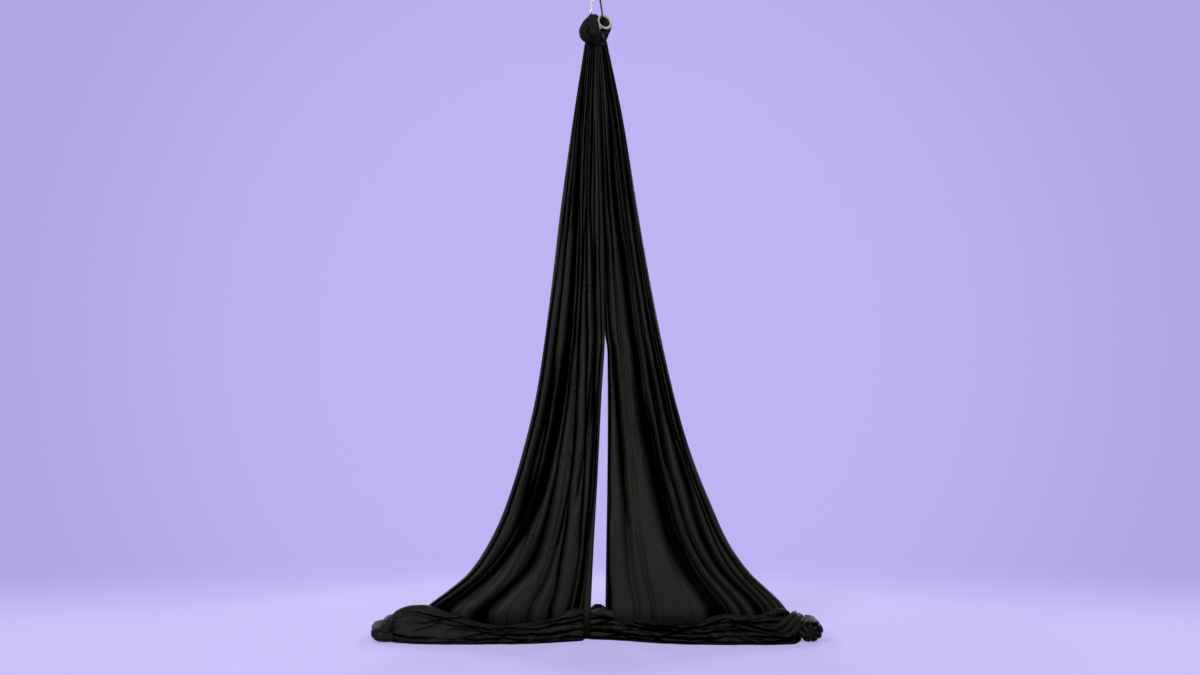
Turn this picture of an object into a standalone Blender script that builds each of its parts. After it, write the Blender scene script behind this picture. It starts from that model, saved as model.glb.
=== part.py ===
"""Aerial silks: one long cloth hitched on a figure-eight ring, hung from a pear-shaped carabiner.

The origin is the inside of the carabiner's top bow, where the rig above bears. +Z is up, -Y faces
the viewer, and the two tails of the cloth hang side by side along X and end in folds on the floor.
"""

import math

import bmesh
import bpy
from mathutils import Matrix, Vector

# Whole rig
hang_height = 3.22
touch_gap = 0.0003
cut_overrun = 0.004
weld_distance = 0.00001

# Carabiner frame
bar_diameter = 0.009
carabiner_length = 0.155
basket_width = 0.0796
top_bow_width = 0.0472
nose_length = 0.009
carabiner_turn = math.radians(-32)

# Gate, its hinge and its latch
hinge_stub = 0.002
hinge_pin_rise = 0.0074
hinge_pin_diameter = 0.003
hinge_tongue_thickness = 0.004
hinge_tongue_width = 0.0084
gate_fork_depth = 0.0056
gate_end_gap = 0.0005
latch_tongue_thickness = 0.003
latch_tongue_length = 0.0058
latch_pin_diameter = 0.0024
latch_pin_drop = 0.003
running_gap = 0.0004

# Spring and plunger inside the gate
spring_bore_diameter = 0.005
spring_bore_depth = 0.024
plunger_length = 0.006
spring_wire_diameter = 0.0007
spring_turns = 7

# Screw sleeve of the gate
sleeve_length = 0.02
sleeve_wall = 0.0014
sleeve_groove_depth = 0.0005
sleeve_latch_clearance = 0.0008

# Figure-eight
large_ring_width = 0.082
large_ring_bar = 0.013
small_ring_width = 0.05
small_ring_bar = 0.012
ring_spacing = 0.064
neck_bar = 0.015
seat_gap = 0.0005
seat_angle = math.radians(60)
ring_contact_angle = math.radians(132)
neck_angle = math.radians(213)
ring_turn = math.radians(25)
ring_lean = math.radians(20)

# Hitch of cloth round the figure-eight, its neck a drop below the large ring's centre
hitch_swing_clearance = 0.0065
ring_room_clearance = 0.0013
hitch_drop = 0.0937
hitch_neck_length = 0.026
hitch_neck_width = 0.118
hitch_neck_depth = 0.084
neck_pleat_depth = 0.006
neck_pleats = 9
neck_waist_share = 0.08

# Tails
foot_height = 0.07
left_reach = 1.04
right_reach = 1.02
slit_offset = 0.0435
slit_width = 0.075
tail_gap = 0.0006
tail_thickness = 0.036
tail_fold_depth = 0.03
foot_fold_depth = 0.05
foot_forward = 0.045

# Layers folded on the floor, split under the slit, in front of and behind the tails
pool_front = 0.19
pool_back = 0.17
pool_edge_wave = 0.008
pool_split_offset = 0.046
pool_split_width = 0.032
pool_waves = 2.5
pool_taper_share = 0.14

# Bunched folds at the outer ends of the layers
left_end_width = 0.0854
right_end_width = 0.1174
end_fold_height = 0.112
end_fold_depth = 0.26

# Crumpled heap on the layers, behind the slit
rear_heap_offset = 0.03
rear_heap_setback = 0.085
rear_heap_width = 0.175
rear_heap_depth = 0.12
rear_heap_height = 0.093

floor_level = -hang_height
foot_level = floor_level + foot_height
bar_radius = bar_diameter / 2

# Height shares run from 0 at a tail's top to 1 at its foot, reach shares from the hanging line
left_edge_shares = (
    (0.0, 0.057), (0.128, 0.112), (0.284, 0.172), (0.44, 0.223), (0.596, 0.285), (0.70, 0.352),
    (0.804, 0.444), (0.856, 0.511), (0.908, 0.607), (0.943, 0.721), (0.96, 0.80), (0.975, 0.90),
    (0.99, 0.975), (1.0, 1.0),
)
right_edge_shares = (
    (0.0, 0.056), (0.128, 0.131), (0.284, 0.202), (0.44, 0.280), (0.596, 0.375), (0.70, 0.459),
    (0.804, 0.575), (0.856, 0.643), (0.908, 0.746), (0.943, 0.851), (0.96, 0.915), (0.975, 0.965),
    (0.99, 0.99), (1.0, 1.0),
)
# The tails meet along a straight seam, from a share of the slit's offset, down to where they part
seam_top_share = 0.05
slit_top_share = 0.495
# How far each tail stands off the seam below that, as shares of the slit's width
left_slit_shares = (
    (0.0, 0.0), (slit_top_share, 0.0), (0.6, 0.22), (0.75, 0.5), (0.86, 0.74), (1.0, 1.0),
)
right_slit_shares = (
    (0.0, 0.0), (slit_top_share, 0.0), (0.53, 0.16), (0.65, 0.18), (0.9, 0.06), (1.0, 0.0),
)

# One row a ridge or valley: its place across the tail at the top, the middle and the foot, then
# how far back it lies, from -1 on the front to 1 at the back
left_fold_shares = (
    (0.0, 0.0, 0.0, -0.2), (0.06, 0.07, 0.04, -1.0), (0.14, 0.16, 0.10, 0.1),
    (0.21, 0.24, 0.17, -1.0), (0.29, 0.32, 0.25, 0.9), (0.38, 0.41, 0.37, -1.0),
    (0.47, 0.53, 0.49, 1.0), (0.56, 0.61, 0.57, -0.9), (0.64, 0.68, 0.67, 0.5),
    (0.72, 0.75, 0.77, -1.0), (0.82, 0.84, 0.86, 0.8), (0.92, 0.93, 0.94, -0.7),
    (1.0, 1.0, 1.0, 0.1),
)
right_fold_shares = (
    (0.0, 0.0, 0.0, -0.5), (0.05, 0.05, 0.04, -1.0), (0.12, 0.13, 0.14, -0.4),
    (0.22, 0.22, 0.25, -1.0), (0.36, 0.37, 0.44, -0.9), (0.45, 0.48, 0.57, 1.0),
    (0.56, 0.58, 0.66, -0.8), (0.66, 0.67, 0.72, 0.2), (0.75, 0.76, 0.77, -0.9),
    (0.83, 0.84, 0.82, 0.8), (0.90, 0.90, 0.88, -0.7), (0.95, 0.95, 0.94, 0.4),
    (1.0, 1.0, 1.0, 0.0),
)
tail_level_shares = (
    0.0, 0.04, 0.10, 0.18, 0.27, 0.36, 0.45, 0.54, 0.62, 0.69,
    0.75, 0.80, 0.845, 0.88, 0.91, 0.935, 0.955, 0.972, 0.987, 1.0,
)

# Lobes of the hitch: centre and half sizes, as shares of the hitch neck's width. Centres are
# read from the middle of the neck's top
lobe_shares = (
    ((-0.415, -0.254, 0.314), (0.314, 0.305, 0.339)),
    ((-0.254, -0.356, 0.644), (0.288, 0.237, 0.339)),
    ((-0.017, -0.186, 0.924), (0.22, 0.17, 0.246)),
    ((-0.02, -0.50, 0.30), (0.27, 0.20, 0.26)),
    ((0.10, -0.30, 0.60), (0.21, 0.24, 0.26)),
    ((0.025, -0.10, 0.093), (0.44, 0.424, 0.237)),
    ((0.33, 0.20, 0.47), (0.254, 0.22, 0.45)),
)

# Outline of the layers, seen from the side: place from -1 at the front to 1 at the back, height
pool_outline_shares = (
    (-0.96, 0.0), (-1.0, 0.13), (-0.93, 0.27), (-0.985, 0.42), (-0.91, 0.55), (-0.95, 0.70),
    (-0.86, 0.88), (-0.68, 0.98), (-0.48, 1.0), (0.12, 1.0), (0.72, 1.0), (0.92, 0.8),
    (1.0, 0.4), (0.95, 0.0), (0.12, 0.0),
)
# How much the outline's points shift along the layers, so that no two folds lie alike
outline_drift_share = 0.018

# Lumps of the bunched folds and of the rear heap: centre and half sizes, as shares of the
# heap's width, depth and height. Centres are read outward from the layers' end, or from the
# rear heap's middle, and up from the base
left_end_shares = (
    ((0.30, -0.20, 0.22), (0.68, 0.25, 0.62)), ((0.12, 0.05, 0.30), (0.72, 0.23, 0.70)),
    ((0.25, 0.30, 0.20), (0.66, 0.18, 0.55)),
)
right_end_shares = (
    ((0.36, -0.20, 0.22), (0.64, 0.26, 0.56)), ((0.08, 0.06, 0.32), (0.56, 0.24, 0.68)),
    ((0.22, 0.30, 0.20), (0.60, 0.19, 0.52)),
)
rear_heap_shares = (
    ((-0.22, 0.0, 0.30), (0.28, 0.42, 0.70)), ((0.20, 0.06, 0.18), (0.32, 0.44, 0.55)),
    ((0.0, -0.12, 0.05), (0.36, 0.36, 0.50)),
)


def clear_scene():
    for thing in list(bpy.data.objects):
        bpy.data.objects.remove(thing, do_unlink=True)


def new_collection(name):
    group = bpy.data.collections.new(name)
    bpy.context.scene.collection.children.link(group)
    return group


def finish_material(name, colour, roughness, metallic):
    material = bpy.data.materials.new(name)
    material.use_nodes = True
    shader = material.node_tree.nodes["Principled BSDF"]
    shader.inputs["Base Color"].default_value = (*colour, 1.0)
    shader.inputs["Roughness"].default_value = roughness
    shader.inputs["Metallic"].default_value = metallic
    return material


def world_place(thing):
    """Where an unturned empty stands, added up through its carriers."""
    place = Vector((0, 0, 0))
    while thing:
        place += thing.location
        thing = thing.parent
    return place


def new_axis(name, place, carrier=None):
    """An empty on a joint's axis. The pieces that the joint moves hang from it."""
    axis = bpy.data.objects.new(name, None)
    axis.empty_display_size = bar_diameter
    silks.objects.link(axis)
    axis.parent = carrier
    axis.location = place - world_place(carrier)
    return axis


def add_piece(name, mesh, material, axis=None):
    """Adds a mesh, built in the rig's places, as a piece with its origin on its joint's axis."""
    mesh.transform(Matrix.Translation(-world_place(axis)))
    mesh.materials.clear()
    mesh.materials.append(material)
    piece = bpy.data.objects.new(name, mesh)
    piece.parent = axis
    silks.objects.link(piece)
    return piece


def mesh_from(shape, name, smooth=True):
    bmesh.ops.recalc_face_normals(shape, faces=shape.faces)
    mesh = bpy.data.meshes.new(name)
    shape.to_mesh(mesh)
    shape.free()
    if smooth:
        mesh.shade_smooth()
        mesh.set_sharp_from_angle(angle=math.radians(40))
    return mesh


def applied(piece):
    """The piece's evaluated mesh, with its modifiers, caps welded, in world space."""
    bpy.context.view_layer.update()
    seen = piece.evaluated_get(bpy.context.evaluated_depsgraph_get())
    mesh = bpy.data.meshes.new_from_object(seen)
    mesh.transform(piece.matrix_world)
    shape = bmesh.new()
    shape.from_mesh(mesh)
    bmesh.ops.remove_doubles(shape, verts=shape.verts, dist=weld_distance)
    shape.to_mesh(mesh)
    shape.free()
    return mesh


def tube(name, path, diameter, sides_step):
    """A bar or wire along a path of points, with filled ends, as one closed mesh."""
    curve = bpy.data.curves.new(name, "CURVE")
    curve.dimensions = "3D"
    curve.bevel_depth = diameter / 2
    curve.bevel_resolution = sides_step
    curve.use_fill_caps = True
    spline = curve.splines.new("POLY")
    spline.points.add(len(path) - 1)
    for point, place in zip(spline.points, path):
        point.co = (*place, 1.0)
    guide = bpy.data.objects.new(name, curve)
    cutters.objects.link(guide)
    mesh = applied(guide)
    bpy.data.objects.remove(guide, do_unlink=True)
    return mesh


def rod(start, end, diameter, sides):
    """A round rod between two points."""
    axis = end - start
    shape = bmesh.new()
    bmesh.ops.create_cone(
        shape, cap_ends=True, segments=sides, radius1=diameter / 2, radius2=diameter / 2,
        depth=axis.length,
    )
    turn = Vector((0, 0, 1)).rotation_difference(axis).to_matrix().to_4x4()
    shape.transform(Matrix.Translation((start + end) / 2) @ turn)
    return mesh_from(shape, "rod")


def block(centre, along, across, depth, sizes):
    """A box centred on a point, with its three sides along three directions."""
    shape = bmesh.new()
    bmesh.ops.create_cube(shape, size=1)
    turn = Matrix((along, across, depth)).transposed().to_4x4()
    shape.transform(Matrix.Translation(centre) @ turn @ Matrix.Diagonal((*sizes, 1)))
    return mesh_from(shape, "block", smooth=False)


def cube_below(level, side):
    """A cube to cut with, its top face at a level."""
    centre = upward * (level - side / 2)
    return block(centre, rightward, rearward, upward, (side, side, side))


def heap(place, sizes, lumps):
    """Soft lumps joined in one mesh, placed by shares of the heap's own sizes."""
    balls = []
    for centre_shares, half_shares in lumps:
        centre = place + Vector([share * size for share, size in zip(centre_shares, sizes)])
        shape = bmesh.new()
        bmesh.ops.create_uvsphere(shape, u_segments=14, v_segments=9, radius=1)
        half_sizes = [abs(share * size) for share, size in zip(half_shares, sizes)]
        shape.transform(Matrix.Translation(centre) @ Matrix.Diagonal((*half_sizes, 1)))
        balls.append(mesh_from(shape, "lump"))
    return combine(balls[0], balls[1:], "UNION")


def combine(base, others, operation):
    """Joins meshes to a base mesh, or cuts them from it."""
    host = bpy.data.objects.new("host", base)
    cutters.objects.link(host)
    tools = []
    for other in others:
        tool = bpy.data.objects.new("tool", other)
        cutters.objects.link(tool)
        tool.hide_render = True
        tool.display_type = "WIRE"
        tools.append(tool)
        step = host.modifiers.new("step", "BOOLEAN")
        step.operation = operation
        step.object = tool
    mesh = applied(host)
    for thing in [host, *tools]:
        bpy.data.objects.remove(thing, do_unlink=True)
    return mesh


def through(knots, share):
    """A smooth line through (place, value) knots, read at a place. It never overshoots a knot."""
    places = [knot[0] for knot in knots]
    values = [knot[1] for knot in knots]
    last = len(knots) - 1
    here = 0
    while here < last - 1 and share > places[here + 1]:
        here += 1
    span = places[here + 1] - places[here]
    part = min(max((share - places[here]) / span, 0.0), 1.0)

    def rise(index):
        return (values[index + 1] - values[index]) / (places[index + 1] - places[index])

    def slope(index):
        if index in (0, last):
            return rise(min(index, last - 1))
        before, after = rise(index - 1), rise(index)
        return 0.0 if before * after <= 0 else 2 * before * after / (before + after)

    square, cube = part * part, part * part * part
    return (
        (2 * cube - 3 * square + 1) * values[here]
        + (cube - 2 * square + part) * slope(here) * span
        + (3 * square - 2 * cube) * values[here + 1]
        + (cube - square) * slope(here + 1) * span
    )


def loft(rings, strip_caps):
    """A closed skin over rings of points. Strip caps join each ring's front half to its back."""
    shape = bmesh.new()
    rows = [[shape.verts.new(point) for point in ring] for ring in rings]
    count = len(rows[0])
    for low, high in zip(rows, rows[1:]):
        for index in range(count):
            after = (index + 1) % count
            shape.faces.new((low[index], low[after], high[after], high[index]))
    for row in (rows[0], rows[-1]):
        if not strip_caps:
            shape.faces.new(row)
            continue
        for index in range(count // 2 - 1):
            facing = count - 1 - index
            shape.faces.new((row[index], row[index + 1], row[facing - 1], row[facing]))
    return mesh_from(shape, "loft")


rightward = Vector((1, 0, 0))
rearward = Vector((0, 1, 0))
upward = Vector((0, 0, 1))

# The carabiner lies in an upright plane turned a little about Z
plane_right = Vector((math.cos(carabiner_turn), math.sin(carabiner_turn), 0))
plane_normal = Vector((-math.sin(carabiner_turn), math.cos(carabiner_turn), 0))
basket_radius = (basket_width - bar_diameter) / 2
top_radius = (top_bow_width - bar_diameter) / 2
top_centre_level = bar_radius - top_radius
basket_centre_level = bar_diameter - carabiner_length + bar_radius + basket_radius
leg_lean = math.asin((basket_radius - top_radius) / (top_centre_level - basket_centre_level))
leg_up = plane_right * math.sin(leg_lean) + upward * math.cos(leg_lean)
leg_inward = plane_right * math.cos(leg_lean) - upward * math.sin(leg_lean)


def on_plane(centre_level, radius, angle):
    """A point on one of the frame's arcs. The angle is read from the right, upward."""
    return (
        plane_right * (radius * math.cos(angle))
        + upward * (centre_level + radius * math.sin(angle))
    )


def arc(centre_level, radius, first, last, steps):
    return [
        on_plane(centre_level, radius, first + (last - first) * step / steps)
        for step in range(steps + 1)
    ]


nose_root = on_plane(top_centre_level, top_radius, math.pi - leg_lean)
nose_end = nose_root - leg_up * nose_length
stub_root = on_plane(basket_centre_level, basket_radius, math.pi - leg_lean)
stub_end = stub_root + leg_up * hinge_stub
hinge_point = stub_end + leg_up * hinge_pin_rise
gate_tip = nose_end - leg_up * gate_end_gap
latch_point = nose_end - leg_up * latch_pin_drop
latch_stop = nose_end - leg_up * latch_tongue_length
sleeve_top = latch_stop - leg_up * sleeve_latch_clearance


def frame_path():
    return [
        nose_end,
        *arc(top_centre_level, top_radius, math.pi - leg_lean, leg_lean, 14),
        *arc(basket_centre_level, basket_radius, leg_lean, -math.pi - leg_lean, 22),
        stub_end,
    ]


def make_frame():
    bar = tube("bar", frame_path(), bar_diameter, 3)
    tongue_start = stub_end - leg_up * cut_overrun / 2
    tongue = block(
        (tongue_start + hinge_point) / 2, leg_up, leg_inward, plane_normal,
        ((hinge_point - tongue_start).length, hinge_tongue_width, hinge_tongue_thickness),
    )
    half = plane_normal * hinge_tongue_thickness / 2
    eye = rod(hinge_point - half, hinge_point + half, hinge_tongue_width, 16)
    latch_start = nose_end + leg_up * cut_overrun / 2
    latch = block(
        (latch_start + latch_stop) / 2, leg_up, leg_inward, plane_normal,
        ((latch_start - latch_stop).length, hinge_tongue_width, latch_tongue_thickness),
    )
    body = combine(bar, [tongue, eye, latch], "UNION")
    reach = plane_normal * bar_diameter
    hole_diameter = hinge_pin_diameter + running_gap
    hole = rod(hinge_point - reach, hinge_point + reach, hole_diameter, 16)
    notch_side = latch_pin_diameter + 2 * running_gap
    notch = block(
        latch_point + leg_inward * (bar_diameter - notch_side) / 2, leg_up, leg_inward,
        plane_normal, (notch_side, bar_diameter, bar_diameter),
    )
    add_piece("carabiner_frame", combine(body, [hole, notch], "DIFFERENCE"), dark_steel)


def make_gate(axis):
    foot = hinge_point - leg_up * hinge_tongue_width / 2
    bar = rod(foot, gate_tip, bar_diameter, 16)
    fork_top = hinge_point + leg_up * gate_fork_depth
    fork_start = foot - leg_up * cut_overrun
    fork = block(
        (fork_start + fork_top) / 2, leg_up, leg_inward, plane_normal,
        (
            (fork_top - fork_start).length, bar_diameter + cut_overrun,
            hinge_tongue_thickness + 2 * running_gap,
        ),
    )
    latch_floor = latch_stop - leg_up * running_gap
    latch_open = gate_tip + leg_up * cut_overrun
    latch_slot = block(
        (latch_floor + latch_open) / 2, leg_up, leg_inward, plane_normal,
        (
            (latch_open - latch_floor).length, bar_diameter + cut_overrun,
            latch_tongue_thickness + 2 * running_gap,
        ),
    )
    bore_top = fork_top + leg_up * spring_bore_depth
    bore = rod(fork_top - leg_up * cut_overrun, bore_top, spring_bore_diameter, 12)
    reach = plane_normal * bar_diameter
    hinge_hole = rod(
        hinge_point - reach, hinge_point + reach, hinge_pin_diameter + running_gap, 16
    )
    latch_hole = rod(
        latch_point - reach, latch_point + reach, latch_pin_diameter + running_gap, 12
    )
    cuts = [fork, latch_slot, bore, hinge_hole, latch_hole]
    add_piece("carabiner_gate", combine(bar, cuts, "DIFFERENCE"), bright_steel, axis)
    pin_half = plane_normal * (bar_radius - running_gap)
    hinge_pin = rod(hinge_point - pin_half, hinge_point + pin_half, hinge_pin_diameter, 16)
    add_piece("gate_hinge_pin", hinge_pin, bright_steel)
    latch_pin = rod(latch_point - pin_half, latch_point + pin_half, latch_pin_diameter, 12)
    add_piece("gate_latch_pin", latch_pin, bright_steel, axis)
    return fork_top, bore_top


def make_spring(fork_top, bore_top, axis):
    """The plunger bears on the round end of the hinge tongue, and the spring backs it."""
    plunger_tip = hinge_point + leg_up * (hinge_tongue_width / 2 + running_gap)
    plunger_diameter = spring_bore_diameter - 2 * running_gap
    plunger_back = plunger_tip + leg_up * plunger_length
    plunger = rod(plunger_tip, plunger_back, plunger_diameter, 12)
    add_piece("gate_plunger", plunger, bright_steel, axis)
    first = plunger_back + leg_up * (spring_wire_diameter / 2 + touch_gap)
    last = bore_top - leg_up * (spring_wire_diameter / 2 + touch_gap)
    coil_radius = plunger_diameter / 2 - spring_wire_diameter / 2
    steps_a_turn = 8
    steps = spring_turns * steps_a_turn
    path = []
    for step in range(steps + 1):
        angle = 2 * math.pi * step / steps_a_turn
        centre = first.lerp(last, step / steps)
        path.append(
            centre + leg_inward * (coil_radius * math.cos(angle))
            + plane_normal * (coil_radius * math.sin(angle))
        )
    add_piece("gate_spring", tube("spring", path, spring_wire_diameter, 1), bright_steel, axis)


def make_sleeve(axis):
    """A turned collar on the gate, screwed down until it clears the frame's latch tongue."""
    inner = bar_radius + running_gap
    outer = inner + sleeve_wall
    half = sleeve_length / 2
    # Shares of the half length, and of the groove's depth, down the outer side
    outer_side_shares = (
        (1.0, 1.0), (0.9, 0.0), (0.5, 0.0), (0.42, 1.0), (0.34, 0.0),
        (-0.34, 0.0), (-0.42, 1.0), (-0.5, 0.0), (-0.9, 0.0), (-1.0, 1.0),
    )
    profile = [
        (outer - groove * sleeve_groove_depth, place * half)
        for place, groove in outer_side_shares
    ]
    profile += [(inner, -half), (inner, half)]
    shape = bmesh.new()
    corners = [shape.verts.new((across, 0, up)) for across, up in profile]
    for index, corner in enumerate(corners):
        shape.edges.new((corner, corners[(index + 1) % len(corners)]))
    mesh = bpy.data.meshes.new("sleeve")
    shape.to_mesh(mesh)
    shape.free()
    collar = add_piece("locking_sleeve", mesh, sleeve_steel)
    spin = collar.modifiers.new("turned", "SCREW")
    spin.steps = 24
    spin.render_steps = 24
    spin.use_merge_vertices = True
    spin.merge_threshold = weld_distance
    spin.use_normal_calculate = True
    collar.parent = axis
    collar.rotation_euler = upward.rotation_difference(leg_up).to_euler()


# The figure-eight hooks the basket's right corner by its large ring
ring_right = Vector((math.cos(ring_turn), math.sin(ring_turn), 0))
ring_rear = Vector((-math.sin(ring_turn), math.cos(ring_turn), 0))
ring_up = upward * math.cos(ring_lean) + ring_rear * math.sin(ring_lean)
ring_normal = ring_right.cross(ring_up)
large_radius = (large_ring_width - large_ring_bar) / 2
small_radius = (small_ring_width - small_ring_bar) / 2


def ring_direction(angle):
    return ring_right * math.cos(angle) + ring_up * math.sin(angle)


def seat_on_basket():
    """The large ring's centre, for its bar to rest across the basket's, and where they meet."""
    along_basket = plane_right * math.cos(seat_angle) + upward * math.sin(seat_angle)
    bar_point = on_plane(basket_centre_level, basket_radius, seat_angle - math.pi / 2)
    along_ring = ring_direction(ring_contact_angle + math.pi / 2)
    rise = along_basket.cross(along_ring).normalized()
    if rise.z < 0:
        rise.negate()
    ring_point = bar_point + rise * (bar_radius + large_ring_bar / 2 + seat_gap)
    contact = bar_point + rise * (bar_radius + seat_gap / 2)
    return ring_point - ring_direction(ring_contact_angle) * large_radius, contact


def ring_loop(centre, radius, bar, around, section):
    """A closed round bar, as a torus lying in the figure-eight's plane."""
    shape = bmesh.new()
    rows = []
    for step in range(around):
        outward = ring_direction(2 * math.pi * step / around)
        row = []
        for turn in range(section):
            angle = 2 * math.pi * turn / section
            out_step = outward * (radius + bar / 2 * math.cos(angle))
            row.append(shape.verts.new(centre + out_step + ring_normal * (bar / 2 * math.sin(angle))))
        rows.append(row)
    for step in range(around):
        row, following = rows[step], rows[(step + 1) % around]
        for turn in range(section):
            after = (turn + 1) % section
            shape.faces.new((row[turn], row[after], following[after], following[turn]))
    return mesh_from(shape, "ring")


ring_centre, swing_point = seat_on_basket()
neck_top = ring_centre.z - hitch_drop
tail_top = neck_top - hitch_neck_length - touch_gap


def figure_eight_mesh(fatter, around, section):
    small_centre = ring_centre + ring_direction(neck_angle) * ring_spacing
    large = ring_loop(ring_centre, large_radius, large_ring_bar + fatter, around, section)
    small = ring_loop(small_centre, small_radius, small_ring_bar + fatter, around, section)
    neck = rod(
        ring_centre + ring_direction(neck_angle) * large_radius,
        small_centre - ring_direction(neck_angle) * small_radius, neck_bar + fatter, section,
    )
    return combine(large, [neck, small], "UNION")


def make_hitch(axis):
    """Soft lobes of the cloth's middle, wrapped round the figure-eight's neck."""
    cloth = heap(upward * neck_top, [hitch_neck_width] * 3, lobe_shares)
    swing_room = tube("room", frame_path(), bar_diameter + 2 * hitch_swing_clearance, 1)
    ring_room = figure_eight_mesh(2 * ring_room_clearance, 24, 8)
    below = cube_below(neck_top + touch_gap, 3 * hitch_neck_width)
    cloth = combine(cloth, [swing_room, ring_room, below], "DIFFERENCE")
    add_piece("hitch_lobes", cloth, black_cloth, axis)


def make_hitch_neck(axis):
    """The gathered cloth between the hitch and the two tails."""
    points_round = 4 * neck_pleats
    rings = []
    for level_share in (0.0, 0.5, 1.0):
        level = neck_top - hitch_neck_length * level_share
        waist = 1 - neck_waist_share * math.sin(math.pi * level_share)
        ring = []
        for step in range(points_round):
            angle = 2 * math.pi * step / points_round
            pleat = neck_pleat_depth * (math.cos(neck_pleats * angle) - 1) / 2
            ring.append(Vector((
                (hitch_neck_width / 2 * waist + pleat) * math.cos(angle),
                (hitch_neck_depth / 2 * waist + pleat) * math.sin(angle),
                level,
            )))
        rings.append(ring)
    add_piece("hitch_neck", loft(rings, False), black_cloth, axis)


def seam_place(height_share):
    down_share = min(height_share / slit_top_share, 1)
    return slit_offset * (seam_top_share + (1 - seam_top_share) * down_share)


def tail_edges(side, height_share):
    """The inner and the outer edge of a tail at a height, as places along X."""
    seam = seam_place(height_share)
    if side < 0:
        inner = seam - tail_gap / 2 - slit_width * through(left_slit_shares, height_share)
        return inner, -left_reach * through(left_edge_shares, height_share)
    inner = seam + tail_gap / 2 + slit_width * through(right_slit_shares, height_share)
    return inner, right_reach * through(right_edge_shares, height_share)


def fold_place(fold, height_share):
    return through(((0.0, fold[0]), (0.5, fold[1]), (1.0, fold[2])), height_share)


def tail_ring(side, folds, height_share):
    """One level of a tail: the front of the pleated cloth, then its back."""
    inner, outer = tail_edges(side, height_share)
    level = tail_top + (foot_level - tail_top) * height_share
    flare = height_share ** 6
    fold_depth = tail_fold_depth + (foot_fold_depth - tail_fold_depth) * flare
    forward = -foot_forward * flare
    half = tail_thickness / 2
    columns = []
    for fold, following in zip(folds, folds[1:]):
        place, after = fold_place(fold, height_share), fold_place(following, height_share)
        columns += [(place, fold[3]), ((place + after) / 2, (fold[3] + following[3]) / 2)]
    columns.append((1.0, folds[-1][3]))
    front, back = [], []
    for place, depth_share in columns:
        across = inner + (outer - inner) * place
        middle = forward + fold_depth * depth_share / 2
        front.append(Vector((across, middle - half, level)))
        back.append(Vector((across, middle + half, level)))
    return front + back[::-1]


def make_tail(name, side, folds, axis):
    rings = [tail_ring(side, folds, share) for share in tail_level_shares]
    add_piece(name, loft(rings, True), black_cloth, axis)


def pool_section(across, part):
    """The outline of the layers at one place along them, a little different at each."""
    wave = pool_edge_wave * math.sin(2 * math.pi * pool_waves * part)
    taper = 1 - pool_taper_share * (2 * part - 1) ** 4
    middle = (pool_back - pool_front) / 2
    half_depth = (pool_back + pool_front) / 2
    points = []
    for index, (place, height) in enumerate(pool_outline_shares):
        drift = outline_drift_share * math.sin(4 * math.pi * part + 2 * index)
        if height in (0.0, 1.0):
            drift = 0.0
        points.append(Vector((
            across,
            middle + half_depth * taper * (place + drift) + wave,
            floor_level + (foot_height - touch_gap) * (height + drift),
        )))
    return points


def make_pool(name, start, end, axis):
    sections = 24
    rings = []
    for index in range(sections):
        part = index / (sections - 1)
        rings.append(pool_section(start + (end - start) * part, part))
    add_piece(name, loft(rings, False), black_cloth, axis)


def make_end_fold(name, pool_end, width, lumps, axis):
    """The last bunched folds of a tail, at the outer end of its layers. Width is signed."""
    start = pool_end + math.copysign(touch_gap, width)
    place = Vector((start, 0, floor_level))
    cloth = heap(place, (width, end_fold_depth, end_fold_height), lumps)
    guard = block(
        place - rightward * width, rightward, rearward, upward,
        (2 * abs(width), 2 * end_fold_depth, 3 * end_fold_height),
    )
    cuts = [cube_below(floor_level, 2 * hang_height), guard]
    add_piece(name, combine(cloth, cuts, "DIFFERENCE"), black_cloth, axis)


def make_rear_heap(axis):
    place = Vector((rear_heap_offset, rear_heap_setback, foot_level))
    cloth = heap(place, (rear_heap_width, rear_heap_depth, rear_heap_height), rear_heap_shares)
    cut = cube_below(foot_level + touch_gap, hang_height)
    add_piece("rear_heap", combine(cloth, [cut], "DIFFERENCE"), black_cloth, axis)


clear_scene()
silks = new_collection("aerial_silks")
cutters = new_collection("cutters")
dark_steel = finish_material("dark steel", (0.10, 0.10, 0.09), 0.3, 1.0)
bright_steel = finish_material("bright steel", (0.62, 0.60, 0.56), 0.22, 1.0)
sleeve_steel = finish_material("sleeve steel", (0.55, 0.50, 0.42), 0.35, 1.0)
ring_steel = finish_material("ring alloy", (0.70, 0.70, 0.70), 0.2, 1.0)
black_cloth = finish_material("black cloth", (0.012, 0.012, 0.012), 0.6, 0.0)

gate_axis = new_axis("gate_axis", hinge_point)
sleeve_axis = new_axis("sleeve_axis", sleeve_top - leg_up * sleeve_length / 2, gate_axis)
hitch_axis = new_axis("hitch_axis", swing_point)

make_frame()
fork_roof, bore_roof = make_gate(gate_axis)
make_spring(fork_roof, bore_roof, gate_axis)
make_sleeve(sleeve_axis)
add_piece("figure_eight", figure_eight_mesh(0, 36, 10), ring_steel, hitch_axis)
make_hitch(hitch_axis)
make_hitch_neck(hitch_axis)

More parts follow.
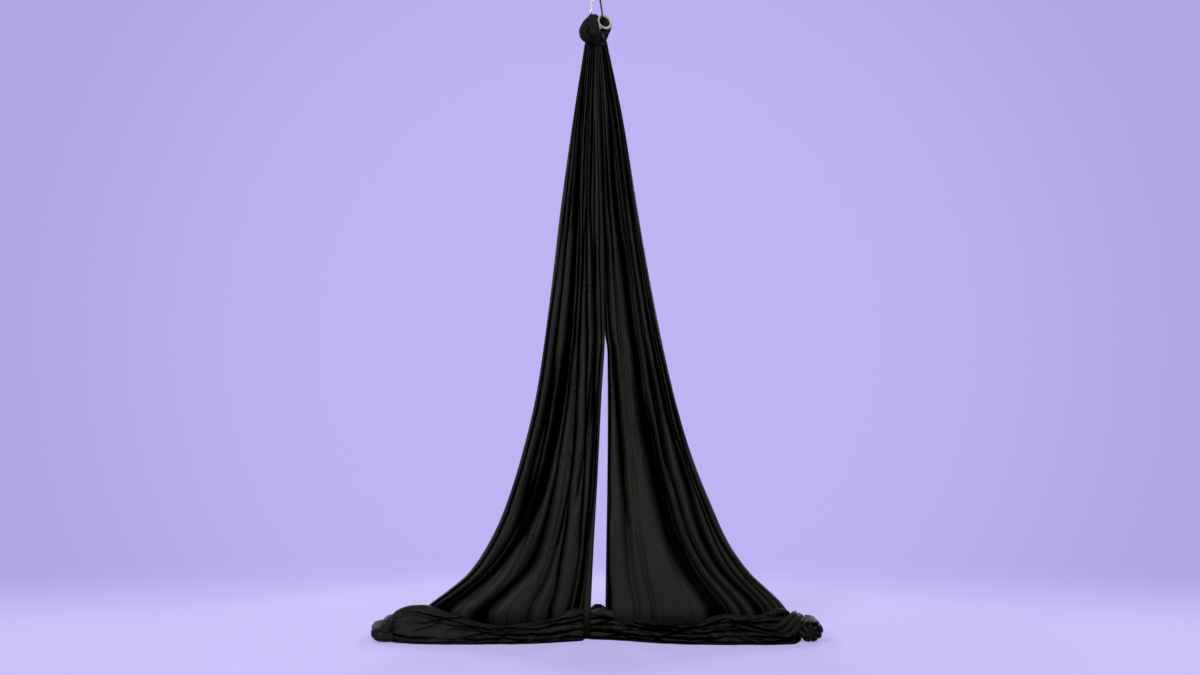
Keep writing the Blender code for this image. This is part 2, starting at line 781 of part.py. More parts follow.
# Each tail swings out about its outer top corner, and its layers stay level on its foot
for side, word, folds, reach, end_width, end_shares in (
    (-1, "left", left_fold_shares, left_reach, -left_end_width, left_end_shares),
    (1, "right", right_fold_shares, right_reach, right_end_width, right_end_shares),
):
    top_corner = Vector((tail_edges(side, 0.0)[1], 0, tail_top))
    foot_corner = Vector((tail_edges(side, 1.0)[0], 0, foot_level))
    tail_axis = new_axis(word + "_tail_axis", top_corner, hitch_axis)
    pool_axis = new_axis(word + "_pool_axis", foot_corner, tail_axis)
    make_tail(word + "_tail", side, folds, tail_axis)
    pool_start = side * pool_split_width / 2 - pool_split_offset
    pool_end = side * (reach + 2 * touch_gap)
    make_pool(word + "_pool", pool_start, pool_end, pool_axis)
    make_end_fold(word + "_end_fold", pool_end, end_width, end_shares, pool_axis)
make_rear_heap(pool_axis)
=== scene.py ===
"""The finish of a set of black aerial silks: cloth, figure-eight ring and screw-gate carabiner."""
import math

import bpy
import numpy as np
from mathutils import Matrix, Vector


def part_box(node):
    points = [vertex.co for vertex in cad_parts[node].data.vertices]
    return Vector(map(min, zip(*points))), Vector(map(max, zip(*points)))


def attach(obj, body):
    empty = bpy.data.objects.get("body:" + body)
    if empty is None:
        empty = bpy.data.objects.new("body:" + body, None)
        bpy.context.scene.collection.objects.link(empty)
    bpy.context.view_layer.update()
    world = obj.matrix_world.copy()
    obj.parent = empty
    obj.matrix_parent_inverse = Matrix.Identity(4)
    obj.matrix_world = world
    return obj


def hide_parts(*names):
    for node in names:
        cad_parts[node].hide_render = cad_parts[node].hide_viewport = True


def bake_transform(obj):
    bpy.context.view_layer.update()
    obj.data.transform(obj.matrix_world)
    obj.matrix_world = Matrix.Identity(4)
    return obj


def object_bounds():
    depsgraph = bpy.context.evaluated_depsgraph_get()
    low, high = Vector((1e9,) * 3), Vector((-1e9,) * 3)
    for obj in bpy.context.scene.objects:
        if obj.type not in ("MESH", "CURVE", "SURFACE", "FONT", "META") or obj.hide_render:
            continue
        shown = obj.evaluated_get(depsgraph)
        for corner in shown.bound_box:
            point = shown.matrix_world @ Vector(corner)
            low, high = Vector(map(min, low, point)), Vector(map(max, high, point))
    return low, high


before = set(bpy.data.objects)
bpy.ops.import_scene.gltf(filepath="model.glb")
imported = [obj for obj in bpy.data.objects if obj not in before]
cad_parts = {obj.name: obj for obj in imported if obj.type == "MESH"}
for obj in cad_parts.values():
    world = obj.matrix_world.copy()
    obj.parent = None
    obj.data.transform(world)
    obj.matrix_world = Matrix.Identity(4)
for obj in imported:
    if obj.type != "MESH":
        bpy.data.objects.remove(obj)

cad_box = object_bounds()

# The view: a level camera eight metres off, at about the middle of the hanging cloth's height,
# so that both the ring at the top and the layers on the floor are in the picture.
floor_level = cad_box[0].z
view_distance = 8.0
view_height = floor_level + 1.5025
view_offset = 0.0185
view_lens = 48
film_width = 36
farthest_seen = 60


def place_object(name, data, location=(0, 0, 0)):
    """An object made from a camera, a lamp, a mesh or a curve, and put in the scene."""
    made = bpy.data.objects.new(name, data)
    made.location = location
    bpy.context.scene.collection.objects.link(made)
    return made


lens = bpy.data.cameras.new("view")
lens.sensor_width = film_width
lens.lens = view_lens
lens.clip_end = farthest_seen
camera = place_object("view", lens, (view_offset, -view_distance, view_height))
camera.rotation_euler = (math.radians(90), 0, 0)
bpy.context.scene.camera = camera
bpy.context.scene.view_settings.view_transform = "Standard"

# The studio: a pale lavender floor that turns softly into a slightly deeper backdrop, with large
# soft lamps in front, and others behind so that the back of the cloth reads as well.
lamp_size = 2.6
lamps = (
    ("key", (-4.2, -6.4, 1.6), 365),
    ("fill", (3.9, -6.7, 1.4), 165),
    ("top", (0.3, -2.2, 3.0), 40),
    ("rear_left", (-3.6, 6.4, 1.4), 300),
    ("rear_right", (3.8, 6.2, 1.2), 265),
)
room_light = 0.255
room_light_below = 0.35
room_light_full_at = 0.8
horizon_top = 0.134
horizon_foot = 0.171
backdrop_middle = 0.93
floor_radius = 2.6
floor_sides = 96
floor_fade = 0.9
floor_rim = 0.05
floor_glow = 0.5


def tone(red, green, blue):
    """A colour as a screen shows it, from 0 to 255, in Blender's linear values."""
    parts = []
    for value in (red, green, blue):
        share = value / 255
        parts.append(share / 12.92 if share <= 0.04045 else ((share + 0.055) / 1.055) ** 2.4)
    return (*parts, 1.0)


floor_tone = tone(203, 194, 250)
backdrop_tone = tone(189, 181, 243)
backdrop_edge_tone = tone(174, 165, 231)


def connect(tree, node, inputs):
    """Gives a node's named or numbered inputs a value each, or what another node puts out.

    A node alone stands for its first output, and a node in a pair for the output named there.
    """
    for entry, given in inputs.items():
        source = given if isinstance(given, tuple) else (given, 0)
        if isinstance(source[0], bpy.types.Node):
            tree.links.new(source[0].outputs[source[1]], node.inputs[entry])
        else:
            node.inputs[entry].default_value = given


def add_node(tree, kind, inputs=(), **settings):
    """A node with its settings, and with what its inputs get."""
    made = tree.nodes.new(kind)
    for name, value in settings.items():
        setattr(made, name, value)
    connect(tree, made, dict(inputs))
    return made


def calculate(tree, operation, *values):
    """A node that works out one sum from one, two or three values."""
    return add_node(tree, "ShaderNodeMath", dict(enumerate(values)), operation=operation)


def mix_tones(tree, share, first, second):
    """A node that goes from one colour to another. Its colour is output 2."""
    return add_node(tree, "ShaderNodeMix", {0: share, 6: first, 7: second}, data_type="RGBA")


def set_ramp(node, *stops):
    """Gives a colour ramp its two stops, each as a place and a colour."""
    for element, (place, colour) in zip(node.color_ramp.elements, stops):
        element.position = place
        element.color = (*colour, 1)


for name, place, power in lamps:
    light = bpy.data.lights.new(name, "AREA")
    light.shape = "DISK"
    light.size = lamp_size
    light.energy = power
    lamp = place_object(name, light, place)
    aim = Vector((0, 0, view_height)) - Vector(place)
    lamp.rotation_euler = aim.to_track_quat("-Z", "Y").to_euler()

room = bpy.data.worlds.new("studio")
bpy.context.scene.world = room
room.use_nodes = True
air = room.node_tree
air.nodes.clear()
ray = add_node(air, "ShaderNodeLightPath")
shown = calculate(air, "MAXIMUM", (ray, "Is Camera Ray"), (ray, "Is Transmission Ray"))
seen = calculate(air, "MAXIMUM", shown, (ray, "Is Glossy Ray"))
way = add_node(air, "ShaderNodeTexCoord")
axes = add_node(air, "ShaderNodeSeparateXYZ", {0: (way, "Generated")})
rise = add_node(
    air, "ShaderNodeMapRange", {0: (axes, "Z"), 1: -horizon_foot, 2: -horizon_top},
    interpolation_type="SMOOTHSTEP",
)
middle = add_node(
    air, "ShaderNodeMapRange", {0: (axes, "Y"), 1: backdrop_middle, 2: 1.0},
    interpolation_type="SMOOTHSTEP",
)
back = mix_tones(air, middle, backdrop_edge_tone, backdrop_tone)
view_tone = mix_tones(air, rise, floor_tone, (back, 2))
overhead = add_node(air, "ShaderNodeValToRGB", {0: (axes, "Z")})
set_ramp(overhead, (0.0, [room_light_below] * 3), (room_light_full_at, (1, 1, 1)))
seen_light = add_node(air, "ShaderNodeBackground", {"Color": (view_tone, 2)})
soft_light = add_node(air, "ShaderNodeBackground", {"Color": overhead, "Strength": room_light})
either = add_node(air, "ShaderNodeMixShader", {0: seen, 1: soft_light, 2: seen_light})
add_node(air, "ShaderNodeOutputWorld", {0: either})

floor_paint = bpy.data.materials.new("studio floor")
floor_paint.use_nodes = True
paint = floor_paint.node_tree
paint.nodes.clear()
spot = add_node(paint, "ShaderNodeTexCoord")
reach = add_node(paint, "ShaderNodeVectorMath", {0: (spot, "Object")}, operation="LENGTH")
fade = add_node(
    paint, "ShaderNodeMapRange",
    {0: (reach, "Value"), 1: floor_radius - floor_fade, 2: floor_radius - floor_rim},
    interpolation_type="SMOOTHSTEP",
)
view_ray = add_node(paint, "ShaderNodeLightPath")
glow_share = calculate(paint, "MULTIPLY", (view_ray, "Is Camera Ray"), floor_glow)
matt = add_node(paint, "ShaderNodeBsdfDiffuse", {"Color": floor_tone})
glow = add_node(paint, "ShaderNodeEmission", {"Color": floor_tone})
lit = add_node(paint, "ShaderNodeMixShader", {0: glow_share, 1: matt, 2: glow})
clear = add_node(paint, "ShaderNodeBsdfTransparent")
cover = add_node(paint, "ShaderNodeMixShader", {0: fade, 1: lit, 2: clear})
add_node(paint, "ShaderNodeOutputMaterial", {0: cover})
ground = bpy.data.meshes.new("studio_floor")
rim = []
for step in range(floor_sides):
    angle = math.tau * step / floor_sides
    rim.append((floor_radius * math.cos(angle), floor_radius * math.sin(angle), 0))
ground.from_pydata(rim, [], [tuple(range(floor_sides))])
ground.materials.append(floor_paint)
studio_floor = place_object("studio_floor", ground, (0, 0, floor_level))

# The two tails: each is one long width of soft black stretch knit, gathered at the ring into
# narrow deep folds that spread, wander and run together on the way down, and sweep out to the
# side at the floor. One thin sheet a tail, its folds carved in by listed valleys.
cloth_width = 1.5
cloth_thickness = 0.0008
tail_columns = 320
tail_rows = 150
tail_fine_steps = 2200
row_crowding = 0.45
collar_rise = 0.012
tuck_under = 0.066
tuck_narrowing = 0.14
left_low, left_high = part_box("left_tail")
right_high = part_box("right_tail")[1]
neck_low, neck_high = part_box("hitch_neck")
tail_top = left_high.z
foot_level = left_low.z
tuck_top = neck_high.z + collar_rise
tuck_foot = foot_level - tuck_under
left_reach = -left_low.x
right_reach = right_high.x
slit_offset = 0.0435
slit_width = 0.075
seam_top_share = 0.05
seam_gap = 0.00042
swing_room = 0.24

# From here the sizes are in thousandths. Heights run from 0 at a tail's top to 1000 at its foot
slit_top = 495
left_edge_shares = (
    (0, 57), (128, 112), (284, 172), (440, 223), (596, 285), (700, 352), (804, 444), (856, 511),
    (908, 607), (943, 721), (960, 785), (975, 830), (1000, 860),
)
right_edge_shares = (
    (0, 56), (128, 131), (284, 202), (440, 280), (596, 375), (700, 459), (804, 575), (856, 643),
    (908, 746), (943, 851), (960, 900), (975, 930), (1000, 950),
)
left_slit_shares = ((0, 0), (slit_top, 0), (600, 220), (750, 500), (860, 740), (1000, 1000))
right_slit_shares = ((0, 0), (slit_top, 0), (530, 160), (650, 180), (900, 60), (1000, 0))

# One row a valley: its place from the slit, 0, to the outer edge, 1000, at each of these levels,
# then its depth and its half width in millimetres at the top, the middle and the foot of the tail
valley_levels = (0, 128, 250, 370, 495, 612, 717, 820, 890, 950, 980)
three_levels = (0, 500, 1000)
left_valleys = (
    ((50, 50, 50, 60, 50, 50, 35, 40, 45, 45, 45), (500, 400, 350), (12, 12, 8)),
    ((220, 260, 280, 210, 170, 110, 75, 75, 80, 85, 90), (1000, 900, 850), (40, 20, 14)),
    ((380, 400, 380, 345, 310, 250, 180, 145, 125, 130, 140), (700, 750, 450), (22, 16, 10)),
    ((500, 500, 460, 430, 430, 370, 320, 300, 290, 245, 240), (900, 650, 500), (28, 18, 12)),
    ((620, 600, 540, 500, 500, 500, 500, 514, 530, 600, 640), (500, 550, 900), (28, 18, 34)),
    ((770, 700, 620, 580, 585, 600, 625, 673, 780, 830, 860), (950, 1000, 950), (42, 62, 44)),
    ((880, 830, 770, 790, 810, 820, 820, 800, 860, 900, 920), (600, 700, 800), (22, 22, 18)),
    ((950, 930, 900, 920, 945, 945, 950, 950, 950, 960, 970), (500, 450, 500), (14, 14, 10)),
)
right_valleys = (
    ((40, 40, 30, 30, 30, 30, 20, 20, 25, 30, 30), (600, 500, 900), (14, 12, 10)),
    ((140, 120, 80, 85, 110, 150, 170, 180, 180, 180, 180), (800, 850, 0), (28, 36, 20)),
    ((270, 250, 210, 240, 260, 270, 270, 270, 270, 270, 270), (700, 120, 0), (26, 30, 20)),
    ((470, 420, 360, 430, 460, 480, 495, 515, 545, 579, 600), (950, 1000, 950), (45, 64, 58)),
    ((600, 550, 520, 540, 570, 570, 580, 600, 630, 655, 680), (600, 300, 300), (18, 14, 12)),
    ((720, 700, 680, 700, 720, 730, 700, 700, 720, 740, 760), (800, 600, 500), (24, 20, 16)),
    ((840, 830, 810, 820, 800, 810, 830, 810, 800, 815, 830), (800, 850, 900), (26, 28, 24)),
    ((900, 900, 880, 880, 880, 880, 890, 890, 885, 885, 890), (400, 450, 550), (14, 14, 11)),
    ((960, 950, 940, 940, 940, 940, 940, 940, 940, 930, 940), (400, 400, 450), (12, 12, 9)),
)
# From here the sizes are in metres again, or shares of 1
fold_depth = 0.070
fold_depth_gain = 0.032
ridge_swell = 0.018
ridge_reach = 0.045
front_face = -0.030
foot_forward = 0.042
edge_curl = 0.016
outer_curl_width = 0.012
inner_curl_width = 0.010
hem_depth = 0.026
valley_wander = 0.008
valley_depth_change = 0.34
valley_width_change = 0.32
stray_folds = 9
stray_wander = 0.01
crease_count = 44
crease_depth = 0.0045
crease_wander = 0.02
tail_sway = 0.006
touching = 1e-4


def smooth_through(knots, where):
    """A smooth line through (place, value) knots in thousandths, that never overshoots."""
    places, values = (np.array(part) / 1000 for part in zip(*knots))
    rises = np.diff(values) / np.diff(places)
    slopes = np.concatenate(([rises[0]], np.zeros(len(values) - 2), [rises[-1]]))
    product = rises[:-1] * rises[1:]
    steady = product > 0
    slopes[1:-1][steady] = 2 * product[steady] / (rises[:-1] + rises[1:])[steady]
    start = np.clip(np.searchsorted(places, where, side="right") - 1, 0, len(places) - 2)
    span = places[start + 1] - places[start]
    part = np.clip((where - places[start]) / span, 0, 1)
    return (
        (2 * part**3 - 3 * part**2 + 1) * values[start]
        + (part**3 - 2 * part**2 + part) * slopes[start] * span
        + (3 * part**2 - 2 * part**3) * values[start + 1]
        + (part**3 - part**2) * slopes[start + 1] * span
    )


def smooth_step(low, high, where):
    """A soft rise from 0 at the first place to 1 at the second, which may be the lower one."""
    part = np.clip((where - low) / (high - low), 0, 1)
    return part * part * (3 - 2 * part)


def hump(away, half, power=2):
    """A soft hump: 1 where nothing is away, gone at a little over its half width."""
    return np.exp(-(np.abs(away / half) ** power))


def wander(chance, where, waves):
    """A gentle random line, made of a few sine waves, from about -1 to 1."""
    total = np.zeros_like(where, dtype=float)
    for count in range(1, waves + 1):
        phase = chance.uniform(0, math.tau)
        total = total + np.sin(math.tau * count * where + phase) / count
    return total / 1.6


def noise(tree, where, scale, **sizes):
    """A node that gives soft random clouds."""
    return add_node(tree, "ShaderNodeTexNoise", {"Vector": where, "Scale": scale, **sizes})


def black_knit(name, grain_shift, shade_on_ridges=0.0, shade_in_valleys=1.0):
    """Soft black stretch knit: nearly black, a low satin sheen, fine ribs that run with the cloth.

    How much painted shade darkens the colour and takes away shine and sheen is given for the tops of the
    folds and for the bottoms of their valleys.
    """
    made = bpy.data.materials.new(name)
    made.use_nodes = True
    tree = made.node_tree
    place = add_node(tree, "ShaderNodeTexCoord")
    along = add_node(tree, "ShaderNodeUVMap", uv_map="cloth")
    # Painted shade: the colour goes to near black, and the shine and sheen go away, as the painted shade
    # stored on the sheet grows
    painted_shade = add_node(tree, "ShaderNodeAttribute", attribute_name="painted_shade")
    painted_darkening = add_node(tree, "ShaderNodeMapRange", {0: (painted_shade, "Fac"), 3: shade_on_ridges, 4: shade_in_valleys})
    shine = add_node(tree, "ShaderNodeMapRange", {0: painted_darkening, 3: 0.17, 4: 0.0})
    sheen = add_node(tree, "ShaderNodeMapRange", {0: painted_darkening, 3: 0.02, 4: 0.0})
    cloud = noise(tree, (place, "Object"), 2.3 + grain_shift, Detail=3.0)
    streak_map = add_node(tree, "ShaderNodeMapping", {0: along, "Scale": (30.0, 1.4, 1.0)})
    streak = noise(tree, streak_map, 1.0, Detail=4.0)
    shade = add_node(
        tree, "ShaderNodeValToRGB", {0: calculate(tree, "MULTIPLY_ADD", streak, 0.5, cloud)}
    )
    set_ramp(shade, (0.35, (0.0070, 0.0069, 0.0030)), (0.95, (0.0146, 0.0144, 0.0072)))
    shadow = mix_tones(tree, painted_darkening, shade, (0.0002, 0.0002, 0.0002, 1))
    rough = add_node(tree, "ShaderNodeMapRange", {0: streak, 3: 0.50, 4: 0.66})
    rib = add_node(
        tree, "ShaderNodeTexWave", {0: along, "Scale": 190.0, "Distortion": 0.6, "Detail": 1.0},
        bands_direction="X",
    )
    course = add_node(
        tree, "ShaderNodeTexWave", {0: along, "Scale": 230.0, "Distortion": 0.8, "Detail": 1.0},
        bands_direction="Y",
    )
    knit = calculate(tree, "MULTIPLY", (rib, 1), (course, 1))
    crush_map = add_node(tree, "ShaderNodeMapping", {0: along, "Scale": (42.0, 5.0, 1.0)})
    crush = noise(tree, crush_map, 1.0, Detail=3.0, Roughness=0.55)
    dimple = noise(tree, (place, "Object"), 16.0, Detail=2.0, Distortion=0.8)
    wrinkle = calculate(tree, "MULTIPLY_ADD", dimple, 1.6, crush)
    soft_bump = add_node(
        tree, "ShaderNodeBump", {"Strength": 0.5, "Distance": 0.006, "Height": wrinkle}
    )
    fine_bump = add_node(
        tree, "ShaderNodeBump",
        {"Strength": 0.25, "Distance": 0.0006, "Height": knit, "Normal": soft_bump},
    )
    connect(tree, tree.nodes["Principled BSDF"], {
        "Base Color": (shadow, 2), "Roughness": rough, "Specular IOR Level": shine,
        "Sheen Weight": sheen, "Sheen Roughness": 0.45, "Sheen Tint": (0.9, 0.9, 0.82, 1.0),
        "Normal": fine_bump,
    })
    return made


def cloth_object(name, mesh, rear_slot=0):
    """A sheet in the scene, given the real cloth's thickness and a material slot for its rear."""
    piece = place_object(name, mesh)
    wall = piece.modifiers.new("cloth thickness", "SOLIDIFY")
    wall.thickness = cloth_thickness
    wall.offset = 0
    wall.material_offset = rear_slot
    return piece


def cloth_piece(name, points, weave, painted_shade, material, closed=False):
    """A thin sheet from rows of points, with the cloth's own measures and the painted shade of each
    point.

    Its rear side has a material of its own, with a little painted shade behind the ridges of the front
    and none behind its hollows.
    """
    rows, columns = points.shape[:2]
    number = np.arange(rows * columns).reshape(rows, columns)
    if closed:
        number = np.hstack((number, number[:, :1]))
    low, high = number[:-1], number[1:]
    quads = np.stack((low[:, :-1], high[:, :-1], high[:, 1:], low[:, 1:]), axis=-1)
    mesh = bpy.data.meshes.new(name)
    mesh.from_pydata(points.reshape(-1, 3).tolist(), [], quads.reshape(-1, 4).tolist())
    layer = mesh.uv_layers.new(name="cloth")
    corners = np.zeros(len(mesh.loops), np.int32)
    mesh.loops.foreach_get("vertex_index", corners)
    layer.data.foreach_set("uv", weave.reshape(-1, 2)[corners].ravel())
    # The painted shade of each point, kept on the mesh for the knit material
    shade = mesh.attributes.new("painted_shade", "FLOAT", "POINT")
    shade.data.foreach_set("value", np.clip(painted_shade, 0, 1).astype(np.float32).ravel())
    mesh.shade_smooth()
    mesh.materials.append(material)
    mesh.materials.append(back_knit)
    return cloth_object(name, mesh, 1)


def blank_sheet(rows, columns):
    """Empty arrays for a sheet's points, its measures across and along, and its painted shade."""
    return np.zeros((rows, columns, 3)), np.zeros((rows, columns, 2)), np.zeros((rows, columns))


def evenly(count, first, second, third):
    """Even steps along a line of two measures, and at them both measures and a third value."""
    length = np.concatenate(([0], np.cumsum(np.hypot(np.diff(first), np.diff(second)))))
    even = np.linspace(0, length[-1], count)
    return even, *(np.interp(even, length, line) for line in (first, second, third))


def tail_edges(side, height):
    """The inner and the outer edge of a tail at each height share, as places along X."""
    down = np.clip(height / (slit_top / 1000), 0, 1)
    seam = slit_offset * (seam_top_share + (1 - seam_top_share) * down)
    if side < 0:
        inner = seam - slit_width * smooth_through(left_slit_shares, height) - seam_gap
        return inner, -left_reach * smooth_through(left_edge_shares, height)
    inner = seam + slit_width * smooth_through(right_slit_shares, height) + seam_gap
    return inner, right_reach * smooth_through(right_edge_shares, height)


def panel_clear(side, place, height):
    """How far a spot lies in a tail's wide panel with few small folds, low down, from 0 to 1."""
    if side < 0:
        inside = 0.6 * smooth_step(0.15, 0.19, place) * smooth_step(0.50, 0.46, place)
        return inside * (height > 0.86)
    inside = smooth_step(0.04, 0.08, place) * smooth_step(0.50, 0.44, place)
    return inside * smooth_step(0.58, 0.72, height)


def top_to_foot(values, height):
    """A smooth line through values at the top, the middle and the foot of a tail."""
    return smooth_through(zip(three_levels, values), height)


def run_of_fold(height, first, length, fade_in, fade_out):
    """Where a short fold runs down a tail: 0 above and below it, 1 along its length."""
    begun = smooth_step(first, first + fade_in, height)
    return begun * (1 - smooth_step(first + length, first + length + fade_out, height))


def tail_grid(side, valleys, seed):
    """The points of one tail, its measures across and along the cloth, and its painted shade."""
    chance = np.random.default_rng(seed)
    fine = np.linspace(0, 1, tail_fine_steps)
    even_run = np.linspace(0, 1, tail_rows)
    run = even_run - row_crowding * np.sin(math.tau * even_run) / math.tau
    levels = tuck_top + (tuck_foot - tuck_top) * run
    height = np.clip((tail_top - levels) / (tail_top - foot_level), 0, 1)
    inner, outer = tail_edges(side, height)
    tucked = 1 - tuck_narrowing * smooth_step(tail_top, tuck_top, levels)
    inner, outer = inner * tucked, outer * tucked
    # Inside the collar the two tails draw apart, which leaves room for each to swing out
    inner = inner + side * swing_room * np.clip(levels - neck_low.z, 0, 1)
    width = np.abs(outer - inner)
    places, depths, halves = [], [], []
    for line, deepness, breadth in valleys:
        place = smooth_through(zip(valley_levels, line), height)
        places.append(place + valley_wander * wander(chance, height * 2.2, 6))
        change = 1 + valley_depth_change * wander(chance, height * 2, 6)
        depths.append(np.clip(top_to_foot(deepness, height) * change, 0, 1))
        change = 1 + valley_width_change * wander(chance, height * 2, 5)
        halves.append(top_to_foot(breadth, height) * change)
    for _ in range(stray_folds):
        first = chance.uniform(-0.1, 0.7)
        length = chance.uniform(0.2, 0.45)
        window = run_of_fold(height, first, length, 0.10, 0.12)
        place = chance.uniform(0.08, 0.95) + chance.uniform(-0.25, 0.25) * (height - first - length / 2)
        places.append(place + stray_wander * wander(chance, height * 2, 4))
        depths.append(window * chance.uniform(0.3, 0.6) * (1 - panel_clear(side, place, height)))
        halves.append(chance.uniform(0.009, 0.016) + 0 * height)
    leans = chance.uniform(-0.35, 0.35, len(places))
    skews = chance.uniform(-0.35, 0.45, len(places))
    creases = []
    for _ in range(crease_count):
        place = chance.uniform(0.04, 0.97) + crease_wander * wander(chance, height, 3)
        first = chance.uniform(-0.2, 0.8)
        length = chance.uniform(0.15, 0.6)
        window = run_of_fold(height, first, length, 0.08, 0.15)
        window = window * (1 - panel_clear(side, place, height))
        creases.append((place, window * chance.uniform(0.3, 1.0), chance.uniform(0.003, 0.008)))
    sway = tail_sway * wander(chance, height, 3)
    points, weave, painted_shade = blank_sheet(tail_rows, tail_columns)
    for row in range(tail_rows):
        span = width[row]
        uncut = np.ones_like(fine)
        crowd = np.zeros_like(fine)
        lean = np.zeros_like(fine)
        power = 2.4 - 0.9 * height[row] ** 3
        for place, depth, half, tilt, skew in zip(places, depths, halves, leans, skews):
            apart = np.abs(fine - place[row])
            reach = half[row] * (1 + skew * np.sign(fine - place[row]))
            dip = depth[row] * hump(apart, reach, power)
            uncut *= 1 - dip
            lean += tilt * dip
            crowd += depth[row] / (apart * span + touching) ** 4
        for edge in (0, 1):
            crowd += 1 / (np.abs(fine - edge) * span + touching) ** 4
        clear_of_valleys = crowd**-0.25
        deepest = fold_depth + fold_depth_gain * math.sin(math.pi * height[row])
        swell = ridge_swell * (1 - hump(clear_of_valleys, ridge_reach))
        face = front_face - foot_forward * height[row] ** 8 * (0.4 + 0.6 * fine)
        backward = face + (1 - uncut) * deepest - swell + sway[row]
        # Painted shade: dark in the valleys, a little less so low down, and dark at the foot where the
        # tail goes in among the layers. The creases, and the hem at the slit, get painted shade too
        shade = smooth_step(0.04, 0.66, 1 - uncut) * (1 - 0.2 * height[row] ** 3)
        shade += 0.75 * smooth_step(0.962, 1.0, height[row])
        for place, cut, half in creases:
            dent = cut[row] * hump((fine - place[row]) * span, half, 1.6)
            backward += crease_depth * dent
            shade += 0.4 * dent
        backward += edge_curl * smooth_step(1 - outer_curl_width / span, 1, fine) ** 2
        backward += 0.4 * edge_curl * smooth_step(inner_curl_width / span, 0, fine) ** 2
        rim = np.sin(math.pi * fine) ** 0.5
        across = inner[row] + (outer[row] - inner[row]) * fine + side * lean * deepest * 0.5 * rim
        across = np.clip(across, *sorted((inner[row], outer[row])))
        across = np.concatenate(((inner[row], inner[row]), across))
        backward = np.concatenate((backward[0] + hem_depth * np.array((1.0, 0.5)), backward))
        shade = np.concatenate(((0.9, 0.8), shade))
        even, across, backward, painted_shade[row] = evenly(tail_columns, across, backward, shade)
        points[row, :, 0] = across
        points[row, :, 1] = backward
        points[row, :, 2] = levels[row]
        weave[row, :, 0] = even / even[-1] * cloth_width
        weave[row, :, 1] = -levels[row]
    if side < 0:
        return points[:, ::-1], weave[:, ::-1], painted_shade[:, ::-1]
    return points, weave, painted_shade


# Painted shade in the tails' folds and layers: none on the tops of the folds, near black in their
# valleys
left_knit = black_knit("black knit, left", 0.0)
right_knit = black_knit("black knit, right", 0.4)
# The rear side: a little painted shade behind the front's ridges, none behind its valleys
back_knit = black_knit("black knit, rear side", 0.2, 0.1, 0.0)
for word, side, valleys, knit, seed in (
    ("left", -1, left_valleys, left_knit, 11), ("right", 1, right_valleys, right_knit, 23),
):
    tail = cloth_piece(word + "_tail_cloth", *tail_grid(side, valleys, seed), knit)
    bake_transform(tail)
    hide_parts(word + "_tail")

# The layers on the floor: the last of each tail, the same knit folded to and fro on itself. A
# rounded roll along the front hides the tail's foot, with the edges of flatter folds under it.
layer_columns = 380
layer_points = 110
layer_fine_steps = 500
back_steps = 160
valley_steps = 24
back_depth = 0.165
front_slope = 0.55
front_bulge = 0.010
crest_round = 0.016
foot_round = 0.012
floor_clearance = 0.0009
rear_reach = 0.0135
inner_round = 0.02
outer_round = 0.05
back_height = 0.92
back_unevenness = 0.006

